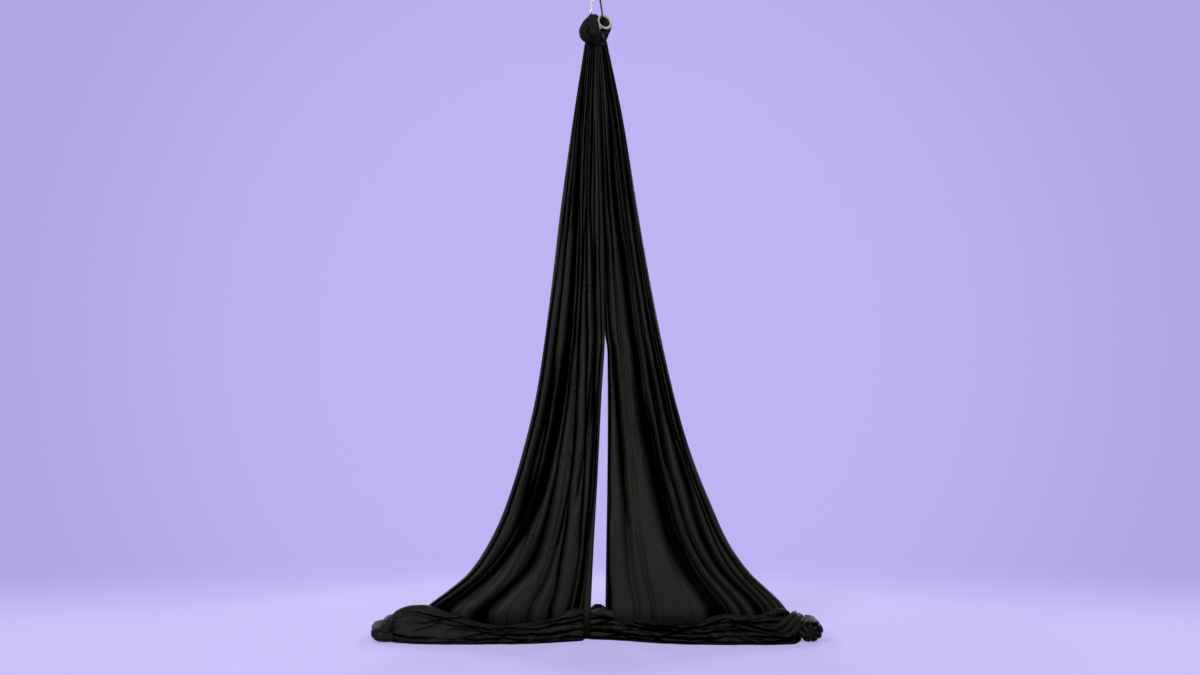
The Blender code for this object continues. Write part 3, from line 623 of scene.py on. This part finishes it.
# At places along the side from the slit, 0, to the outer end, 1000, in millimetres: the crest's
# height, the front's distance, and each crevice's height above the floor and its depth
layers = {
    "left": {
        "knit": left_knit, "seed": 5, "small_crevices": 14,
        "crest": ((0, 150), (50, 158), (120, 120), (190, 101), (300, 85), (420, 76), (520, 91),
                  (620, 121), (710, 150), (785, 172), (860, 176), (930, 160), (1000, 115)),
        "front": ((0, 100), (80, 125), (200, 160), (360, 182), (760, 180), (930, 140), (1000, 95)),
        "crevices": (
            (((0, 60), (100, 52), (200, 40), (420, 43), (620, 80), (800, 110), (1000, 120)),
             ((0, 12), (200, 16), (450, 7), (600, 6), (800, 3), (900, 0), (1000, 0))),
            (((0, 22), (200, 21), (520, 26), (720, 28), (920, 36), (1000, 50)),
             ((0, 14), (300, 6), (500, 10), (700, 4), (900, 12), (1000, 12))),
            (((0, 100), (100, 88), (200, 72), (300, 60), (1000, 60)),
             ((0, 14), (150, 10), (300, 3), (340, 0), (1000, 0))),
            (((0, 128), (80, 112), (200, 88), (300, 72), (1000, 70)),
             ((0, 10), (200, 6), (300, 0), (1000, 0))),
            (((0, 50), (450, 58), (550, 74), (650, 102), (800, 140), (1000, 150)),
             ((0, 0), (420, 0), (500, 6), (700, 8), (850, 6), (950, 0), (1000, 0))),
            (((0, 8), (500, 12), (1000, 14)), ((0, 8), (500, 6), (1000, 4))),
        ),
    },
    "right": {
        "knit": right_knit, "seed": 8, "small_crevices": 34,
        "crest": ((0, 125), (50, 146), (140, 141), (200, 118), (260, 96), (360, 86), (450, 86),
                  (520, 96), (600, 128), (660, 134), (740, 130), (820, 130), (900, 128), (950, 108),
                  (1000, 75)),
        "front": ((0, 60), (80, 72), (160, 95), (280, 145), (440, 184), (820, 195), (940, 175),
                  (1000, 120)),
        "crevices": (
            (((0, 100), (140, 104), (260, 78), (450, 68), (630, 98), (800, 100), (1000, 110)),
             ((0, 16), (250, 6), (400, 12), (550, 4), (750, 14), (1000, 6))),
            (((0, 70), (140, 78), (300, 56), (450, 50), (630, 62), (800, 66), (1000, 70)),
             ((0, 14), (150, 5), (300, 14), (500, 6), (700, 11), (850, 4), (1000, 8))),
            (((0, 45), (200, 36), (450, 30), (700, 40), (1000, 34)),
             ((0, 14), (200, 12), (350, 5), (500, 13), (700, 6), (800, 14), (1000, 10))),
            (((0, 16), (300, 13), (600, 12), (1000, 16)), ((0, 10), (1000, 10))),
            (((0, 125), (140, 92), (260, 64), (400, 44), (1000, 40)),
             ((0, 0), (50, 10), (300, 10), (420, 0), (1000, 0))),
            (((0, 40), (300, 48), (500, 74), (650, 112), (1000, 120)),
             ((0, 0), (280, 0), (400, 10), (600, 12), (680, 0), (1000, 0))),
            (((0, 120), (600, 118), (750, 88), (900, 50), (1000, 30)),
             ((0, 0), (600, 0), (700, 14), (850, 14), (940, 0), (1000, 0))),
        ),
    },
}
crevice_half = 0.0042
small_crevice_depth = 0.008
crumple_depth = 0.0044


def crumple(chance, first, second, size, count=14):
    """Soft creased unevenness over two measures of a surface, from about -1 to 1."""
    total = np.zeros_like(first + second)
    for _ in range(count):
        angle = chance.uniform(0, math.pi)
        length = size * chance.uniform(0.6, 2.2)
        swing = np.sin(math.tau * (first * math.cos(angle) + second * math.sin(angle)) / length
                       + chance.uniform(0, math.tau))
        total += (1 - 2 * np.abs(swing) ** 0.8) * chance.uniform(0.4, 1.0)
    return total / math.sqrt(count)


def layer_grid(start, end, shape):
    """The points of one side's folded layers, from the slit to the outer end."""
    chance = np.random.default_rng(shape["seed"])
    part = np.linspace(0, 1, layer_columns)
    span = abs(end - start)
    crest = smooth_through(shape["crest"], part) * (1 + 0.03 * wander(chance, part * 2, 6))
    front = smooth_through(shape["front"], part) * (1 + 0.02 * wander(chance, part * 3, 6))
    front = front + front_bulge * smooth_step(0.25, 0.5, part)
    inner_end = np.sqrt(1 - (1 - np.clip(part / inner_round, 0, 1)) ** 2) * 0.4 + 0.6
    outer_end = np.sqrt(1 - (1 - np.clip((1 - part) / outer_round, 0, 1)) ** 2) * 0.9 + 0.1
    rounding = inner_end * outer_end
    crevices = [
        (
            smooth_through(level, part) + 0.004 * wander(chance, part * 3, 6),
            smooth_through(depth, part) * (1 + 0.25 * wander(chance, part * 4, 5)),
        )
        for level, depth in shape["crevices"]
    ]
    for _ in range(shape["small_crevices"]):
        middle = chance.uniform(0.05, 0.95)
        half = chance.uniform(0.05, 0.18)
        level = chance.uniform(0.15, 0.9) * np.interp(middle, part, crest)
        slope = chance.uniform(-0.35, 0.35)
        window = hump(part - middle, half, 4)
        level = level + slope * (part - middle) * span + 0.002 * wander(chance, part * 5, 4)
        crevices.append((level, window * small_crevice_depth * chance.uniform(0.4, 1.0)))
    down = np.linspace(1, 0, layer_fine_steps)
    back_line = spline_row(
        ((1.0, 0.02), (1.0, 0.16), (0.90, 0.24), (0.99, 0.36), (0.93, 0.50), (0.80, 0.55),
         (0.86, 0.66), (0.78, 0.84), (0.60, 0.90), (0.36, 0.78), (0.16, 0.50)), back_steps,
    )
    points, weave, painted_shade = blank_sheet(layer_columns, layer_points)
    # Two of the four lines aren't used, but each one drawn decides the next
    depth_swing, back_swing, *_ = [wander(chance, part * 2.5, 7) for _ in range(4)]
    across = start + (end - start) * part
    ripple = crumple(chance, across[:, None] * 0.28, down[None, :] * 0.16, 0.045)
    fine_ripple = crumple(chance, across[:, None] * 0.4, down[None, :] * 0.16, 0.022)
    up_back = np.linspace(0, 0.22, back_steps)
    back_ripple = crumple(chance, across[:, None] * 0.3, up_back[None, :], 0.06)
    for column in range(layer_columns):
        tall, wide, ends = crest[column], front[column], rounding[column]
        level = tall * down
        run = wide * (1 - front_slope * down**1.4)
        round_top = min(crest_round, 0.25 * tall)
        over = np.clip((level - (tall - round_top)) / round_top, 0, 1)
        run = run - round_top * 0.8 * (1 - np.sqrt(1 - over**2 + 1e-9))
        run = run - foot_round * smooth_step(foot_round, 0, level)
        cut = np.zeros_like(level)
        for place, depth in crevices:
            near = hump(level - place[column], crevice_half, 1.4)
            cut = np.maximum(cut, depth[column] * near)
        loose = crumple_depth * (0.6 + 0.9 * smooth_step(0.12, 0, part[column]))
        loose *= 1 + 0.8 * smooth_step(0.85, 1, part[column])
        run = run - cut + loose * (0.7 * ripple[column] + 0.35 * fine_ripple[column])
        run, level = run * ends, level * ends**0.5
        behind = back_depth * ends * (1 + 0.06 * depth_swing[column])
        back_y = back_line[:, 0] * behind + back_unevenness * back_swing[column]
        uneven = back_ripple[column] * smooth_step(0, 0.1, back_line[:, 1])
        back_y = back_y + back_unevenness * uneven
        back_z = back_line[:, 1] * tall * ends**0.5 * back_height
        valley_y = np.linspace(back_y[-1], -run[0], valley_steps)[1:-1]
        valley_part = np.linspace(0, 1, valley_steps)[1:-1]
        valley_z = back_z[-1] + (level[0] - back_z[-1]) * smooth_step(0.15, 1.0, valley_part)
        line_y = np.concatenate((back_y, valley_y, -run))
        line_z = np.concatenate((back_z, valley_z, level))
        # Painted shade: dark in the two hollows of the rear, in the trough between rear and front and in
        # the crevices of the front, with a little over the front that grows in the hollows of its
        # crumple
        rear_hollow_shade = hump(back_line[:, 1] - 0.24, 0.06) + hump(back_line[:, 1] - 0.55, 0.06)
        hollows = 0.03 - 0.20 * ripple[column] - 0.12 * fine_ripple[column]
        shade = np.concatenate((0.8 * rear_hollow_shade, 0.45 + 0 * valley_y, cut / 0.007 + hollows))
        even, line_y, line_z, painted_shade[column] = evenly(layer_points, line_y, line_z, shade)
        points[column, :, 0] = across[column]
        points[column, :, 1] = line_y
        points[column, :, 2] = floor_level + np.maximum(line_z, floor_clearance)
        weave[column, :, 0] = across[column]
        weave[column, :, 1] = even
    return points, weave, painted_shade


def spline_row(knots, count):
    """Many points along a smooth open line through given points."""
    knots = np.array(knots)
    chord = np.concatenate(([0], np.cumsum(np.linalg.norm(np.diff(knots, axis=0), axis=1) ** 0.5)))
    where = np.linspace(0, chord[-1], 8 * count)
    ends = np.vstack((2 * knots[0] - knots[1], knots, 2 * knots[-1] - knots[-2]))
    start = np.clip(np.searchsorted(chord, where, side="right") - 1, 0, len(knots) - 2)
    part = ((where - chord[start]) / (chord[start + 1] - chord[start]))[:, None]
    before, here, after, later = (ends[start + step] for step in range(4))
    line = 0.5 * (
        2 * here + (after - before) * part + (2 * before - 5 * here + 4 * after - later) * part**2
        + (3 * here - before - 3 * after + later) * part**3
    )
    length = np.concatenate(([0], np.cumsum(np.linalg.norm(np.diff(line, axis=0), axis=1))))
    even = np.linspace(0, length[-1], count)
    return np.stack([np.interp(even, length, line[:, axis]) for axis in range(line.shape[1])], 1)


for word, shape in layers.items():
    low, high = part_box(word + "_pool")
    start, end = (high.x, low.x) if word == "left" else (low.x, high.x)
    points, weave, painted_shade = layer_grid(start, end, shape)
    if word == "right":
        points, weave, painted_shade = points[::-1], weave[::-1], painted_shade[::-1]
    # Behind the front folds the two sides all but meet
    apart = np.abs(points[:, :, 0] - start)
    drawn = rear_reach * smooth_step(-0.055, -0.015, points[:, :, 1]) * smooth_step(0.10, 0, apart)
    points[:, :, 0] += drawn if word == "left" else -drawn
    folded = cloth_piece(word + "_layers_cloth", points, weave, painted_shade, shape["knit"])
    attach(folded, word + "_layers")
    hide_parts(word + "_pool")

# The hitch: the cloth's middle, passed through the large ring, round the figure-eight's neck and
# pulled tight. It is gathered lengthwise into soft pleated bundles, as the bunched ends and the
# heap on the floor are too. Each bundle follows a given path, with pleats that run along it.
bundle_sides = 84
bundle_steps = 72
path_steps = 60
end_bluntness = 14
end_radius_share = 0.08


def bundle_tree():
    """A node tree that sweeps a pleated, slightly crumpled tube of cloth along each path, with painted
    shade in the valleys of its pleats.
    """
    tree = bpy.data.node_groups.new("cloth bundle", "GeometryNodeTree")
    for name, kind, value in (
        ("Paths", "Geometry", None), ("Sides", "Int", bundle_sides), ("Steps", "Int", bundle_steps),
        ("Pleats", "Float", 9.0), ("Pleat Depth", "Float", 0.14), ("Flatness", "Float", 0.9),
        ("Crumple", "Float", 0.004), ("Crumple Size", "Float", 0.03), ("Cloth", "Material", None),
    ):
        socket = tree.interface.new_socket(name, in_out="INPUT", socket_type="NodeSocket" + kind)
        if value is not None:
            socket.default_value = value
    tree.interface.new_socket("Bundle", in_out="OUTPUT", socket_type="NodeSocketGeometry")

    def keep(geometry, name, value):
        """Holds on to a value of a path's or a ring's points through the sweep, as output 1."""
        kept = add_node(tree, "GeometryNodeCaptureAttribute")
        kept.capture_items.new("FLOAT", name)
        connect(tree, kept, {0: geometry, 1: value})
        return kept

    given = add_node(tree, "NodeGroupInput")
    place = add_node(tree, "GeometryNodeInputPosition")
    run = add_node(tree, "GeometryNodeSplineParameter")
    even = add_node(
        tree, "GeometryNodeResampleCurve", {"Curve": (given, "Paths"), "Count": (given, "Steps")}
    )
    path = keep(even, "Along", (run, "Length"))
    circle = add_node(
        tree, "GeometryNodeCurvePrimitiveCircle", {"Radius": 1.0, "Resolution": (given, "Sides")}
    )
    ring = keep(circle, "Across", (run, "Factor"))
    sway = noise(tree, place, 1.4, Detail=1.0)
    turn = calculate(tree, "MULTIPLY_ADD", sway, 0.35, (run, "Factor"))
    angle = calculate(tree, "MULTIPLY", turn, math.tau)
    wave = calculate(tree, "SINE", calculate(tree, "MULTIPLY", angle, (given, "Pleats")))
    valley = calculate(tree, "SUBTRACT", 1.0, calculate(tree, "ABSOLUTE", wave))
    # Painted shade in the valleys of the pleats, kept through the sweep and stored on the cloth
    dark = calculate(tree, "MULTIPLY", calculate(tree, "POWER", valley, 3.0), 0.8)
    folds = keep(ring, "Fold", dark)
    shrink = calculate(tree, "MULTIPLY", valley, (given, "Pleat Depth"))
    smaller = calculate(tree, "SUBTRACT", 1.0, shrink)
    pleated = add_node(tree, "ShaderNodeVectorMath", {0: place, "Scale": smaller}, operation="SCALE")
    flat = add_node(tree, "ShaderNodeCombineXYZ", {0: 1.0, 1: (given, "Flatness"), 2: 1.0})
    flattened = add_node(tree, "ShaderNodeVectorMath", {0: pleated, 1: flat}, operation="MULTIPLY")
    outline = add_node(tree, "GeometryNodeSetPosition", {0: folds, "Position": flattened})
    radius = add_node(tree, "GeometryNodeInputRadius")
    sweep = add_node(
        tree, "GeometryNodeCurveToMesh", {"Curve": path, "Profile Curve": outline, "Scale": radius}
    )
    finer = calculate(tree, "DIVIDE", 1.0, (given, "Crumple Size"))
    bumps = noise(tree, place, finer, Detail=2.5, Roughness=0.55)
    centred = calculate(tree, "SUBTRACT", bumps, 0.5)
    push = calculate(tree, "MULTIPLY", centred, (given, "Crumple"))
    facing = add_node(tree, "GeometryNodeInputNormal")
    shift = add_node(tree, "ShaderNodeVectorMath", {0: facing, "Scale": push}, operation="SCALE")
    crumpled = add_node(tree, "GeometryNodeSetPosition", {0: sweep, "Offset": shift})
    across = calculate(tree, "MULTIPLY", (ring, 1), 0.3)
    measures = add_node(tree, "ShaderNodeCombineXYZ", {0: across, 1: (path, 1)})
    measured = add_node(
        tree, "GeometryNodeStoreNamedAttribute", {0: crumpled, "Name": "cloth", "Value": measures},
        data_type="FLOAT2", domain="CORNER",
    )
    darkened = add_node(
        tree, "GeometryNodeStoreNamedAttribute", {0: measured, "Name": "painted_shade", "Value": (folds, 1)},
        data_type="FLOAT", domain="POINT",
    )
    smooth = add_node(tree, "GeometryNodeSetShadeSmooth", {0: darkened})
    real = add_node(tree, "GeometryNodeRealizeInstances", {0: smooth})
    dressed = add_node(tree, "GeometryNodeSetMaterial", {0: real, "Material": (given, "Cloth")})
    add_node(tree, "NodeGroupOutput", {0: dressed})
    return tree


bundles = bundle_tree()


def make_bundle(name, paths, material, origin=(0, 0, 0), **sizes):
    """A piece of one or more cloth bundles.

    A path's points are (x, y, z, radius) in millimetres, read from the origin given.
    """
    guide = bpy.data.curves.new(name, "CURVE")
    guide.dimensions = "3D"
    for path in paths:
        knots = []
        for point in path:
            *spot, radius = (value / 1000 for value in point)
            knots.append((*(Vector(origin) + Vector(spot)), radius))
        line = spline_row(knots, path_steps)
        spline = guide.splines.new("POLY")
        spline.points.add(len(line) - 1)
        closing = (1 - np.abs(np.linspace(-1, 1, len(line))) ** end_bluntness) ** 0.5
        for point, (x, y, z, radius), shut in zip(spline.points, line, closing):
            point.co = (x, y, z, 1)
            point.radius = radius * (end_radius_share + (1 - end_radius_share) * shut)
    guide_piece = place_object(name + "_path", guide)
    sweep = guide_piece.modifiers.new("sweep", "NODES")
    sweep.node_group = bundles
    sizes["Cloth"] = material
    for item in bundles.interface.items_tree:
        if item.in_out == "INPUT" and item.name in sizes:
            sweep[item.identifier] = sizes[item.name]
    bpy.context.view_layer.update()
    made = guide_piece.evaluated_get(bpy.context.evaluated_depsgraph_get())
    mesh = bpy.data.meshes.new_from_object(made)
    mesh.name = name
    bpy.data.objects.remove(guide_piece, do_unlink=True)
    return cloth_object(name, mesh)


# A darker copy of the knit for the hitch and the neck: painted shade over all of it, on top of the
# painted shade in the valleys of its pleats
shaded_hitch_knit = black_knit("black knit, hitch", 0.9, 0.4)
knot_middle = (0, 0, neck_high.z)
# One row a bundle, in millimetres from the middle of the neck's top
hitch_paths = (
    ((8, -6, 120, 14), (-12, -20, 112, 22), (-34, -28, 90, 28), (-50, -30, 64, 31), (-60, -30, 38, 29),
     (-54, -28, 14, 25), (-32, -18, -6, 18)),
    ((-18, -30, 76, 14), (-44, -54, 64, 19), (-64, -62, 40, 21), (-60, -64, 16, 21), (-38, -56, 2, 19),
     (-14, -26, -2, 14)),
    ((-40, -44, 20, 14), (-26, -70, 27, 18), (-4, -80, 28, 20), (14, -70, 22, 18), (26, -46, 13, 15),
     (26, -16, 4, 12)),
    ((46, 8, 74, 10), (48, -4, 54, 15), (45, -10, 32, 17), (36, -12, 8, 16), (28, -10, -10, 12)),
    ((-24, -12, 112, 14), (-26, 14, 104, 22), (-22, 30, 64, 30), (2, 22, 4, 22)),
    ((-8, 0, 118, 12), (-22, -30, 110, 21), (-16, -56, 76, 27), (-6, -62, 42, 25), (4, -44, 14, 24),
     (6, -24, -10, 18)),
    ((12, 34, 94, 12), (36, 30, 113, 24), (51, 24, 80, 28), (32, 22, 28, 24), (16, 10, -6, 18)),
    ((20, -4, 58, 10), (24, -14, 36, 18), (20, -20, 12, 20), (12, -16, -10, 16)),
)
hitch = make_bundle(
    "hitch_cloth", hitch_paths, shaded_hitch_knit, knot_middle,
    **{"Pleats": 5.0, "Pleat Depth": 0.22, "Crumple": 0.006, "Crumple Size": 0.022},
)
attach(hitch, "hitch")
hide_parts("hitch_lobes")

# The neck under the hitch: the same cloth pulled together into a short pleated collar, out of
# which both tails fall.
neck_columns = 460
neck_rows = 16
neck_pleats = 23
pleat_depth = 0.13
neck_half_width = 0.054
neck_half_depth = 0.038
neck_foot_wave = 0.004
neck_foot = neck_low.z + neck_foot_wave
neck_top_girth = 0.93
neck_flare = 0.13
neck_seed = 41
turn = np.linspace(0, 1, neck_columns, endpoint=False)
chance = np.random.default_rng(neck_seed)
shift = 0.010 * wander(chance, turn, 6)
pleat = np.abs(np.sin(math.pi * neck_pleats * (turn + shift)))
points, weave, painted_shade = blank_sheet(neck_rows, neck_columns)
for row in range(neck_rows):
    along = row / (neck_rows - 1)
    swell = neck_top_girth + neck_flare * along**1.5
    radius = swell * (1 - pleat_depth * (1 - pleat) ** 1.5)
    foot = neck_foot + neck_foot_wave * np.sin(math.tau * (3 * turn + 0.2)) * along
    points[row, :, 0] = neck_half_width * radius * np.cos(math.tau * turn) - 0.001
    points[row, :, 1] = neck_half_depth * radius * np.sin(math.tau * turn)
    points[row, :, 2] = tuck_top + (foot - tuck_top) * along
    weave[row, :, 0] = turn * 0.9
    weave[row, :, 1] = along * 0.04
    # Painted shade in the valleys of the collar's pleats
    painted_shade[row] = (1 - pleat) ** 2
collar = cloth_piece("neck_cloth", points, weave, painted_shade, shaded_hitch_knit, closed=True)
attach(collar, "hitch")
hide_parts("hitch_neck")

# The bunched ends of the layers: the last folds of each tail, rolled and pushed together at the
# outer ends, with a heap of slack left behind the slit. All lie loose on the floor.
# A darker copy of the knit for the ends, the heap and the rolled end: painted shade over all of it, on
# top of the painted shade in the valleys of its pleats
shaded_end_knit = black_knit("black knit, ends", 0.6, 0.28)
left_end_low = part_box("left_end_fold")[0]
left_end_inset = 0.022
# The ends' paths are read from the floor by the solid's left edge, and the heap's from its foot
left_end_paths = (
    ((30, -120, 30, 22), (22, -85, 40, 36), (20, -20, 48, 44), (24, 50, 46, 42), (34, 105, 34, 28)),
    ((52, -128, 40, 20), (66, -80, 74, 34), (78, -10, 84, 40), (76, 70, 70, 34), (80, 120, 36, 24)),
    ((10, -100, 26, 16), (30, -118, 27, 24), (62, -122, 28, 27), (100, -116, 26, 24)),
)
left_ends = make_bundle(
    "left_end_cloth", left_end_paths, shaded_end_knit, (left_end_low.x + left_end_inset, 0, floor_level),
    **{"Pleats": 6.0, "Pleat Depth": 0.18, "Crumple": 0.010, "Crumple Size": 0.035},
)
right_end_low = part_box("right_end_fold")[0]
right_end_paths = (
    ((-150, -110, 58, 10), (-112, -148, 94, 14), (-68, -124, 122, 16), (-40, -70, 132, 16),
     (-26, 50, 108, 14)),
    ((-124, -116, 26, 10), (-90, -152, 68, 14), (-50, -132, 104, 17), (-16, -80, 122, 16),
     (-6, 50, 100, 14)),
    ((-90, -104, 16, 12), (-62, -138, 46, 16), (-24, -118, 86, 18), (6, -60, 104, 16), (14, 50, 90, 14)),
    ((-80, -110, 60, 20), (-50, -90, 92, 28), (-20, -50, 104, 32), (0, 50, 80, 28)),
    ((-206, -50, 112, 12), (-160, -92, 138, 17), (-118, -92, 148, 20), (-80, -70, 140, 14),
     (-60, -30, 118, 10)),
)
right_ends = make_bundle(
    "right_end_cloth", right_end_paths, shaded_end_knit, (right_end_low.x, 0, floor_level),
    **{"Pleats": 5.0, "Pleat Depth": 0.16, "Crumple": 0.008, "Crumple Size": 0.03},
)
heap_low, heap_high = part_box("rear_heap")
heap_middle = ((heap_low.x + heap_high.x) / 2, (heap_low.y + heap_high.y) / 2, heap_low.z)
heap_paths = (
    ((-80, -10, -30, 14), (-56, -12, 30, 26), (-30, 4, 58, 30), (4, 20, 40, 28), (20, 30, -10, 20)),
    ((-20, 40, -30, 16), (10, 20, 12, 26), (44, 0, 28, 28), (70, -20, 4, 20), (84, -30, -30, 12)),
    ((-50, 50, -40, 16), (-36, 36, 4, 24), (0, -20, 14, 26), (30, -40, -20, 18)),
)
heap = make_bundle(
    "rear_heap_cloth", heap_paths, shaded_end_knit, heap_middle,
    **{"Pleats": 6.0, "Pleat Depth": 0.20, "Crumple": 0.012, "Crumple Size": 0.025},
)
for piece, body, node, flat in (
    (left_ends, "left_layers", "left_end_fold", (0.45, 0.3)),
    (right_ends, "right_layers", "right_end_fold", (0.40, 0.3)),
    (heap, "right_layers", "rear_heap", (0.45, 0.25)),
):
    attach(piece, body)
    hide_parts(node)

# The rolled right end: the last of the cloth's width, wound loosely into a bun that lies on the
# floor with its gathered middle to the front, its folds running in to it like spokes.
bun_half_width = 0.066
bun_half_height = 0.057
bun_front = -0.150
bun_back = 0.090
bun_hollow = 0.040
bun_cap_share = 0.45
bun_girth = 0.38
bun_offset = 0.034
bun_lowest = floor_level + 0.001
bun_middle = (right_end_low.x + bun_offset, bun_lowest + bun_half_height)
bun_columns = 260
bun_rows = 96
bun_seed = 77
spoke_waves = 3.5
spoke_depth = 0.017
groove_depth = 0.010
lip_height = 0.006
chance = np.random.default_rng(bun_seed)
turn = np.linspace(0, math.tau, bun_columns, endpoint=False)[None, :]
along = np.linspace(0, 1, bun_rows)[:, None]
cap = np.clip(along / bun_cap_share, 0, 1)
tail_off = np.clip((along - 0.8) / 0.2, 0, 1)
out = np.sin(cap * math.pi / 2) * (1 - 0.8 * tail_off**2)
drift = 0.25 * np.sin(turn + 0.7) + 0.16 * np.sin(2 * turn + 2.1) + 0.9 * out
spoke = np.abs(np.sin(spoke_waves * (turn + drift)))
pinch = (1 - spoke) ** 1.6
gathered = smooth_step(0.02, 0.45, out) * (1 - 0.55 * smooth_step(0.7, 1, out))
upper_front = (0.5 + 0.5 * np.cos(turn - 0.9)) * (along < 0.5)
lip = hump(out - 0.86, 0.10) * upper_front
groove = hump(out - 0.66, 0.05) * upper_front
rough = crumple(chance, 0.07 * np.cos(turn) * out, 0.07 * np.sin(turn) * out + 0.1 * along, 0.030)
deep_in = bun_hollow * (1 - np.cos(cap * math.pi / 2)) + 0.012 * hump(out, 0.22)
to_back = np.clip((along - bun_cap_share) / (1 - bun_cap_share), 0, 1)
run = bun_front + deep_in + (bun_back - bun_front - bun_hollow) * to_back
run = run + spoke_depth * pinch * gathered + groove_depth * groove - lip_height * lip
run = run + 0.003 * rough
size = out * (1 - 0.09 * pinch * smooth_step(0.5, 1, out)) + 0.03 * rough * out
sideways = bun_middle[0] + bun_half_width * size * np.cos(turn)
upward = np.maximum(bun_middle[1] + bun_half_height * size * np.sin(turn), bun_lowest)
points = np.stack((sideways, run, upward), axis=-1)
weave = np.stack((turn / math.tau * bun_girth + 0 * along, 0.3 * along + 0 * turn), axis=-1)
# Painted shade in the pinches between the spokes and in the groove round the gathered middle
painted_shade = np.clip(1.1 * pinch**1.5 * gathered + 0.9 * groove, 0, 1)
bun = cloth_piece("right_roll_cloth", points, weave, painted_shade, shaded_end_knit, closed=True)
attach(bun, "right_layers")
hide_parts("right_end_fold")

# The metal: a satin alloy figure-eight, a dark plated steel carabiner frame, a turned steel sleeve
# and a brighter steel gate with its pins, spring and plunger. All carry the fine marks of use.
crease_angle = 35


def worn_metal(name, colour, dull, smooth, rough, scratch, edge_light=1.0, bare=1.0):
    """Metal with clouded colour, fine scratches and a roughness that varies with handling.

    A plated or worn skin lowers the light at its edges, and makes the metal less bare.
    """
    made = bpy.data.materials.new(name)
    made.use_nodes = True
    tree = made.node_tree
    place = add_node(tree, "ShaderNodeTexCoord")
    cloud = noise(tree, (place, "Object"), 60.0, Detail=4.0)
    shade = mix_tones(tree, cloud, (*colour, 1), (*dull, 1))
    stretch = add_node(
        tree, "ShaderNodeMapping",
        {0: (place, "Object"), "Scale": (1.0, 1.0, 0.12), "Rotation": (0.3, 0.5, 0.0)},
    )
    marks = noise(tree, stretch, 900.0, Detail=3.0)
    rub = add_node(tree, "ShaderNodeMapRange", {0: marks, 3: smooth, 4: rough})
    bump = add_node(
        tree, "ShaderNodeBump", {"Strength": scratch, "Distance": 0.0003, "Height": marks}
    )
    connect(tree, tree.nodes["Principled BSDF"], {
        "Base Color": (shade, 2), "Metallic": bare, "Roughness": rub, "Normal": bump,
        "Specular Tint": (edge_light, edge_light, edge_light, 1.0),
    })
    return made


dark_plate = worn_metal(
    "dark plated steel", (0.010, 0.009, 0.007), (0.03, 0.027, 0.020), 0.28, 0.42, 0.25, 0.15
)
bright_plate = worn_metal(
    "bright plated steel", (0.54, 0.50, 0.41), (0.38, 0.35, 0.28), 0.25, 0.40, 0.2, 1.0, 0.6
)
turned_steel = worn_metal("turned steel", (0.62, 0.57, 0.48), (0.42, 0.38, 0.31), 0.28, 0.45, 0.3)
ring_alloy = worn_metal(
    "polished alloy", (0.68, 0.67, 0.58), (0.46, 0.45, 0.39), 0.16, 0.30, 0.15, 1.0, 0.3
)
for node, finish in (
    ("carabiner_frame", dark_plate), ("carabiner_gate", bright_plate),
    ("gate_hinge_pin", bright_plate), ("gate_latch_pin", bright_plate),
    ("gate_plunger", bright_plate), ("gate_spring", bright_plate),
    ("locking_sleeve", turned_steel), ("figure_eight", ring_alloy),
):
    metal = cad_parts[node]
    metal.data.materials.clear()
    metal.data.materials.append(finish)
    metal.data.shade_smooth()
    metal.data.set_sharp_from_angle(angle=math.radians(crease_angle))
